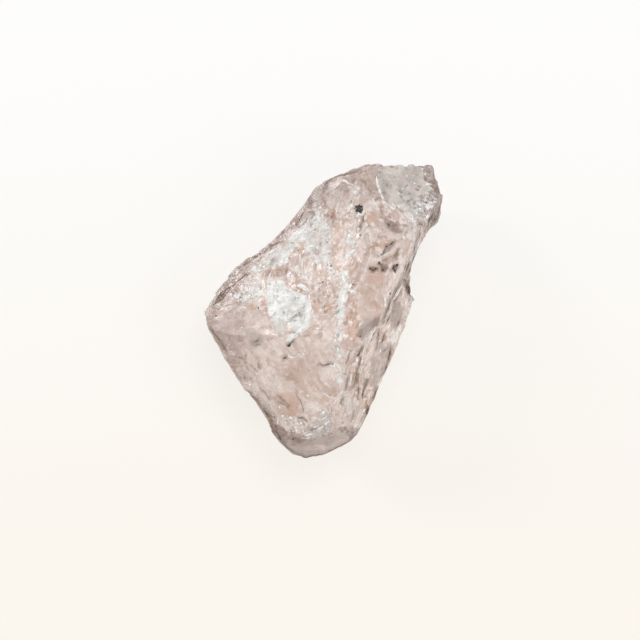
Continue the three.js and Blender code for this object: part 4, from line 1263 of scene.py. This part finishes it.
def crust_and_reflection_white():
    material, tree, shader, place = new_material("crust_and_reflection_white")
    # the crust's tone: lighter and darker streaks, clouds and facets, partly painted relief shade
    streaks = mottled(tree, drawn_out(tree, place, STREAK_TURN, 4), 0.4 * MM, 0.45, 0.7)
    clouds = mottled(tree, place, 1.6 * MM, 0.4, 0.65)
    tone = math_of(tree, "ADD", math_of(tree, "MULTIPLY", streaks, 0.4), math_of(tree, "MULTIPLY", clouds, 0.35))
    facets = crumbs_of(tree, drawn_out(tree, place, STREAK_TURN, 2), 0.35 * MM, 0.35, 1.0)
    tone = math_of(tree, "ADD", tone, math_of(tree, "MULTIPLY", facets, 0.35))
    colour = blend(tree, tone, CRUSHED_LIGHT, CRUSHED_DEEP)
    colour = blend(tree, stored(tree, "warm"), colour, CRUSHED_PINK)
    smoke = math_of(tree, "ADD", math_of(tree, "MULTIPLY", mottled(tree, place, 1.2 * MM, 0.36, 0.64), 0.7),
                    math_of(tree, "MULTIPLY", streaks, 0.3))
    smoky = blend(tree, smoke, CRUSHED_GREY, CRUSHED_SMOKE)
    smoky = blend(tree, mottled(tree, place, 0.7 * MM, 0.5, 0.75), smoky, CRUSHED_ROSE)
    colour = blend(tree, stored(tree, "grey"), colour, smoky)
    specks = crumbs_of(tree, vector_of(tree, "ADD", place, (0.2, 0, 0)), 0.25 * MM, 0.93, 0.96)
    colour = blend(tree, math_of(tree, "MULTIPLY", specks, 0.6), colour, CRUSHED_CLEFT)
    colour = blend(tree, stored(tree, "dark"), colour, CRUSHED_CLEFT)
    tree.links.new(colour, shader.inputs["Base Color"])
    cover = remap(tree, crumbled(tree, place), *CRUSHED_EDGE, 0.0, CRUSHED_COVER)
    tree.links.new(cover, shader.inputs["Alpha"])
    shader.inputs["Roughness"].default_value = 0.4
    return material


def crushed_layer(skin):
    """The frosted part of the skin, lifted and given a thickness."""
    mesh = skin.data.copy()
    mesh.materials.clear()
    work = bmesh.new()
    work.from_mesh(mesh)
    frost = work.verts.layers.float["frost"]
    bare = [face for face in work.faces if max(corner[frost] for corner in face.verts) < CRUSH_FROST]
    bmesh.ops.delete(work, geom=bare, context="FACES")
    for corner in work.verts:
        corner.co += corner.normal * CRUSH_LIFT
    work.to_mesh(mesh)
    work.free()
    layer = piece("crushed_layer", mesh)
    solid = layer.modifiers.new("thickness", "SOLIDIFY")
    solid.thickness = CRUSH_THICKNESS
    solid.offset = -1
    plain(layer)
    layer.data.materials.append(crust_and_reflection_white())
    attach(layer, "root")
    return layer


layer = crushed_layer(stone)
print("crushed layer:", len(layer.data.polygons), "faces")

# %% [markdown]
# ## Sugary chips
# The ridge is also strewn with loose-looking chips no larger than sugar grains, which catch the light as white dots.
# Thousands of them are a job for Geometry Nodes: points are spread over the skin, most densely where the frost map is
# strong, and each gets a small low lump of its own size and turn. The instances are made real at the end, because a
# model file can't hold them.

# %% Chips strewn on the ridge
SUGAR = (0.95, 0.95, 0.94, 1)
SUGAR_SHADE = (0.86, 0.82, 0.80, 1)
ANY_TURN = (6.28, 6.28, 6.28)  # the most that a lump is turned about each axis, in radians


def sugar_and_glint_white():
    material, tree, shader, place = new_material("sugar_and_glint_white")
    tone = mottled(tree, place, 0.6 * MM, 0.35, 0.65)
    tree.links.new(blend(tree, tone, SUGAR, SUGAR_SHADE), shader.inputs["Base Color"])
    shader.inputs["Roughness"].default_value = 0.25
    shader.inputs["IOR"].default_value = BERYL_INDEX
    return material


def random_of(tree, low, high, seed):
    kind = "FLOAT_VECTOR" if isinstance(low, tuple) else "FLOAT"
    node = add(tree, "FunctionNodeRandomValue", {"Min": low, "Max": high, "Seed": seed}, data_type=kind)
    return socket(node.outputs, "Value")


def strewn_tree(material):
    settings = {
        "Chips per square metre": 0.0, "Smallest": 0.0, "Largest": 0.0, "Least frost": 0.0, "Finish": material}
    tree, given, made = new_tree("strewn chips", settings)
    frost = attribute_of(tree, "frost")
    share = remap(tree, frost, given["Least frost"], 1.0)
    share = math_of(tree, "MULTIPLY", share, math_of(tree, "SUBTRACT", 1.0, attribute_of(tree, "grey")))
    density = math_of(tree, "MULTIPLY", share, given["Chips per square metre"])
    spread = add(tree, "GeometryNodeDistributePointsOnFaces",
                 {"Mesh": given["Geometry"], "Density": density, "Seed": 4}, distribute_method="RANDOM")
    lump = add(tree, "GeometryNodeMeshIcoSphere", {"Radius": 1.0, "Subdivisions": 1}).outputs["Mesh"]
    size = math_of(tree, "POWER", random_of(tree, 0.0, 1.0, 11), 4.0)
    size = remap(tree, size, 0.0, 1.0, given["Smallest"], given["Largest"])
    shape = random_of(tree, (0.5, 0.5, 0.3), (1.3, 1.0, 0.6), 12)
    turn = random_of(tree, (0.0, 0.0, 0.0), ANY_TURN, 13)
    scattered = add(tree, "GeometryNodeInstanceOnPoints", {
        "Points": spread.outputs["Points"], "Instance": lump, "Rotation": turn,
        "Scale": vector_of(tree, "SCALE", shape, scale=size)}).outputs[0]
    real = add(tree, "GeometryNodeRealizeInstances", {"Geometry": scattered}).outputs[0]
    finished = add(tree, "GeometryNodeSetMaterial", {"Geometry": real, "Material": given["Finish"]}).outputs[0]
    tree.links.new(finished, made["Geometry"])
    return tree


def strew(name, material, **settings):
    chips = piece(name, stone.data.copy())
    run_tree(chips, strewn_tree(material), {"Finish": material, **settings})
    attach(chips, "root")
    return chips


white = sugar_and_glint_white()
chips = strew("sugar_chips", white, **{
    "Chips per square metre": 20e6, "Smallest": 0.02 * MM, "Largest": 0.16 * MM, "Least frost": 0.6})
print("sugary chips:", len(chips.data.polygons), "faces")

# %% [markdown]
# ## Lumps: white beads and dark grains
# Some chips are large enough to have a place of their own, and so are the few dark mineral grains, the largest a
# blocky black one on the crown. The white of the beads is painted glints as well as chips. Each is one point with a
# size, and one Geometry Nodes tree turns the points into lumps and pushes them out of round: outwards in knobs for
# the beads, inwards in pits with sharp ridges for the grains.

# %% Beads and grains
# x, y and half width in mm
# white beads: chips, painted white as glints
GLINT_BEADS = [
    (-6.8, 2.45, 0.16), (-7.15, 2, 0.16), (-6.65, 1.85, 0.14), (-6.2, 2.1, 0.1), (-6, 1.5, 0.1), (-5.85, 3, 0.2),
    (-7.7, 1.6, 0.12), (-8.0, 1.1, 0.12), (-7.5, 0.9, 0.12), (-7.1, 0.85, 0.13), (-6.9, 0.3, 0.18), (-6.3, 1.2, 0.12),
    (-5.5, 1.6, 0.1), (-5.3, 2.3, 0.1), (-6.4, 3.2, 0.1), (-7.3, 1.4, 0.12), (-5.5, 4.1, 0.15), (-3.7, 6.6, 0.15),
    (-2.8, 1.9, 0.18), (-2.1, 1.8, 0.12), (-2.0, 3.2, 0.18), (-1.0, 2.8, 0.14), (-1.2, 3.6, 0.12), (0.7, 3.2, 0.1),
    (0.4, 2.1, 0.08), (-0.3, 1.8, 0.08), (0.2, 1.3, 0.08), (0.5, 1.5, 0.09), (0.1, 0.6, 0.08), (1.1, 2.8, 0.1),
    (1.3, 2.3, 0.09), (1.6, 2.5, 0.1), (2.8, 2.8, 0.09), (3.9, 2.4, 0.1), (4.0, 2.7, 0.07), (0.9, 3.4, 0.14),
    (0.8, 6.3, 0.12), (1.0, 7.3, 0.1), (1.3, 9.4, 0.1), (0.7, 8.3, 0.12), (5.7, 12.4, 0.1), (9.1, 12.2, 0.12),
    (8.4, 8.7, 0.1), (7.5, 9.6, 0.07), (8.3, 7.2, 0.09), (8.7, 7.1, 0.07), (5.0, -2.6, 0.08), (-1.3, -7.5, 0.13),
    (-5.9, -5.5, 0.1), (-3.8, -8.5, 0.1), (-0.6, -6.9, 0.07), (1.7, -9.65, 0.09), (2.7, -9.7, 0.06),
    (-2.8, -4.0, 0.1), (-1.7, -3.9, 0.06), (-6.4, -6.5, 0.1), (-4.5, -1.9, 0.08), (1.9, 4.6, 0.1), (3.6, 5.7, 0.07),
]
GRAINS = [
    # the black one on the crown, a block with corners
    (3.2, 9.1, 0.3), (3.0, 9.32, 0.16), (3.45, 9.3, 0.15), (3.36, 8.88, 0.18), (3.05, 8.98, 0.15), (2.88, 9.2, 0.09),
    (3.5, 9.05, 0.11), (3.25, 9.4, 0.11), (3.05, 8.72, 0.06),
    # in the stains
    (4.25, 3.78, 0.1), (4.45, 3.68, 0.09), (4.7, 3.75, 0.08), (5.05, 4.3, 0.1), (5.25, 4.15, 0.06),
    (5.35, 3.75, 0.08), (6.35, 3.95, 0.13), (6.5, 4.05, 0.1), (6.4, 3.7, 0.09), (6.6, 4.15, 0.08),
    (6.45, 3.5, 0.06), (6.25, 3.8, 0.07),
    # scattered
    (-2.95, -2.98, 0.13), (-3.1, -3.05, 0.07), (-5.7, 0.3, 0.09), (0.75, 4.05, 0.08), (-9.3, 0.2, 0.06),
    (-9.45, -0.4, 0.06), (3.35, 6.8, 0.08), (0, 2.6, 0.08), (6, 1.55, 0.09), (-3.35, -4.15, 0.06), (8.5, 10.85, 0.08),
    (9.2, 9.65, 0.09), (2.4, -11, 0.07), (-2.6, -11.3, 0.06), (3.35, -2.2, 0.08), (5.7, 5.8, 0.08), (2.7, 2.4, 0.07),
    (9.05, 8.9, 0.06), (-7.3, 1.25, 0.06), (-2.9, 4.7, 0.06),
]
GRAIN_BLACK = (0.012, 0.012, 0.014, 1)
GRAIN_BROWN = (0.06, 0.05, 0.045, 1)


def lump_tree(material, detail):
    settings = {"Finish": material, "Flattest": 0.0, "Block size": 0.0, "Block height": 0.0}
    tree, given, made = new_tree("lumps", settings)
    dots = add(tree, "GeometryNodeMeshToPoints", {"Mesh": given["Geometry"]}).outputs[0]
    lump = add(tree, "GeometryNodeMeshIcoSphere", {"Radius": 1.0, "Subdivisions": detail}).outputs["Mesh"]
    turn = random_of(tree, (0.0, 0.0, 0.0), ANY_TURN, 3)
    round_shape = add(tree, "ShaderNodeCombineXYZ", {"X": 1.15, "Y": given["Flattest"], "Z": given["Flattest"]})
    shape = vector_of(tree, "MULTIPLY", round_shape.outputs[0], random_of(tree, (0.8, 0.8, 0.8), (1.2, 1.2, 1.2), 5))
    size = vector_of(tree, "SCALE", shape, scale=attribute_of(tree, "half"))
    put = add(tree, "GeometryNodeInstanceOnPoints",
              {"Points": dots, "Instance": lump, "Rotation": turn, "Scale": size}).outputs[0]
    real = add(tree, "GeometryNodeRealizeInstances", {"Geometry": put}).outputs[0]
    where = add(tree, "GeometryNodeInputPosition").outputs[0]
    scale = math_of(tree, "DIVIDE", 1.0, given["Block size"])
    blocks = add(tree, "ShaderNodeTexVoronoi", {"Vector": where, "Scale": scale}, feature="F1").outputs["Distance"]
    push = math_of(tree, "MULTIPLY", math_of(tree, "SUBTRACT", 0.5, blocks), given["Block height"])
    out = vector_of(tree, "SCALE", add(tree, "GeometryNodeInputNormal").outputs[0], scale=push)
    rough = add(tree, "GeometryNodeSetPosition", {"Geometry": real, "Offset": out}).outputs[0]
    finished = add(tree, "GeometryNodeSetMaterial", {"Geometry": rough, "Material": given["Finish"]}).outputs[0]
    tree.links.new(finished, made["Geometry"])
    return tree


def grain_black():
    material, tree, shader, place = new_material("grain_black")
    tone = mottled(tree, place, 0.3 * MM, 0.35, 0.65)
    tree.links.new(blend(tree, tone, GRAIN_BLACK, GRAIN_BROWN), shader.inputs["Base Color"])
    shader.inputs["Roughness"].default_value = 0.3
    return material


def lumps(name, spots, sunk, material, detail, **settings):
    """One piece with a lump at each spot, sunk into the skin by a share of its half width."""
    mesh = bpy.data.meshes.new(name)
    landed = [land(x, y) for x, y, _ in spots]
    mesh.from_pydata([(spot - out * sunk * half) * MM for (spot, out), (_, _, half) in zip(landed, spots)], [], [])
    keep(mesh, "half", np.array([half for _, _, half in spots]) * MM)
    made = piece(name, mesh)
    run_tree(made, lump_tree(material, detail), {"Finish": material, **settings})
    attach(made, "root")
    print(name + ":", len(spots), "lumps,", len(made.data.polygons), "faces")
    return made


lumps("white_beads", GLINT_BEADS, 0.1, white, 2,
      **{"Flattest": 0.7, "Block size": 0.2 * MM, "Block height": 0.12 * MM})
lumps("dark_grains", GRAINS, 0.4, grain_black(), 3,
      **{"Flattest": 0.85, "Block size": 0.14 * MM, "Block height": -0.12 * MM})

# %% [markdown]
# ## Seams and splinters
# Thin dark lines run under the skin: healed cracks stained brown, and dark lines that are painted: dark reflection
# along the rims and by the tip, shade in the notch. Thin white ones are splinters and cracks full of air, and some
# are painted glints. Each was drawn in plan as a few points, and the dark ones have already tinged the skin beside
# them. The line is laid on the skin, pushed in a little, and Geometry Nodes sweep a ring along it that tapers to both
# ends. A line in a texture would blur close by. A swept one stays sharp from any distance.

# %% Sweep the seams
STATION = 0.12  # mm between the points of a laid line
SWAY = 0.05  # mm
SWAYS = 2.3  # for each mm
noise.seed_set(5)


def laid(path):
    """Places and facings on the skin along the path, a station apart and swaying a little."""
    found = []
    for start, end in zip(path[:-1], path[1:]):
        start, end = Vector((*start, 0)), Vector((*end, 0))
        count = max(int((end - start).length / STATION), 1)
        for step in range(1 if found else 0, count + 1):
            spot = start.lerp(end, step / count)
            spot += noise.noise_vector(spot * SWAYS) * SWAY
            found.append(land(spot.x, spot.y))
    return found


def wires(lines, sunk):
    """One mesh of bent wires, each with its half width kept at every point, in metres."""
    verts, edges, halves = [], [], []
    for path, half in lines:
        line = laid(path)
        edges += [(len(verts) + i, len(verts) + i + 1) for i in range(len(line) - 1)]
        verts += [(spot - out * half * sunk) * MM for spot, out in line]
        halves += [half * MM] * len(line)
    mesh = bpy.data.meshes.new("wires")
    mesh.from_pydata(verts, edges, [])
    keep(mesh, "half", np.array(halves))
    return mesh


def seam_tree(material):
    tree, given, made = new_tree("seams", {"Width": 1.0, "Finish": material})
    curve = add(tree, "GeometryNodeMeshToCurve", {"Mesh": given["Geometry"]}).outputs["Curve"]
    along = add(tree, "GeometryNodeSplineParameter").outputs["Factor"]
    taper = math_of(tree, "SINE", math_of(tree, "MULTIPLY", along, math.pi))
    taper = math_of(tree, "POWER", taper, 0.6)
    where = add(tree, "GeometryNodeInputPosition").outputs[0]
    uneven = add(tree, "ShaderNodeTexNoise", {"Vector": where, "Scale": 1 / (0.5 * MM), "Detail": 2.0}).outputs["Fac"]
    uneven = remap(tree, uneven, 0.3, 0.7, 0.5, 1.25)
    radius = math_of(tree, "MULTIPLY", attribute_of(tree, "half"), math_of(tree, "MULTIPLY", taper, uneven))
    radius = math_of(tree, "MULTIPLY", radius, given["Width"])
    ring = add(tree, "GeometryNodeCurvePrimitiveCircle", {"Resolution": 8, "Radius": 1.0}).outputs["Curve"]
    swept = add(tree, "GeometryNodeCurveToMesh",
                {"Curve": curve, "Profile Curve": ring, "Scale": radius, "Fill Caps": True}).outputs[0]
    real = add(tree, "GeometryNodeRealizeInstances", {"Geometry": swept}).outputs[0]
    finished = add(tree, "GeometryNodeSetMaterial", {"Geometry": real, "Material": given["Finish"]}).outputs[0]
    tree.links.new(finished, made["Geometry"])
    return tree


def crack_finish(name, deep, light, least_cover):
    """A matt colour between two tones, with gaps where the crack is healed."""
    material, tree, shader, place = new_material(name)
    tree.links.new(blend(tree, mottled(tree, place, 0.7 * MM, 0.35, 0.65), deep, light), shader.inputs["Base Color"])
    gaps = mottled(tree, place, 0.35 * MM, 0.2, 0.6)
    tree.links.new(remap(tree, gaps, 0.0, 1.0, least_cover, 1.0), shader.inputs["Alpha"])
    shader.inputs["Roughness"].default_value = 0.35
    return material


def sweep(name, lines, sunk, width, material):
    swept = piece(name, wires(lines, sunk))
    run_tree(swept, seam_tree(material), {"Width": width, "Finish": material})
    swept.data.shade_smooth()
    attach(swept, "root")
    print(name + ":", len(lines), "lines,", len(swept.data.polygons), "faces")


# the dark seams are stained cracks, and along the rims, by the tip and in the notch they are painted light
stain = crack_finish("stain", deep=(0.12, 0.07, 0.05, 1), light=(0.36, 0.235, 0.17, 1), least_cover=0.3)
# white for splinters, and for painted glints
splinter = crack_finish("splinter_white", deep=(0.97, 0.97, 0.96, 1), light=(0.88, 0.85, 0.83, 1), least_cover=0.6)
sweep("dark_seams", SEAMS, 0.2, 0.65, stain)
sweep("splinters", SPLINTERS_AND_GLINTS, 0.1, 1.2, splinter)
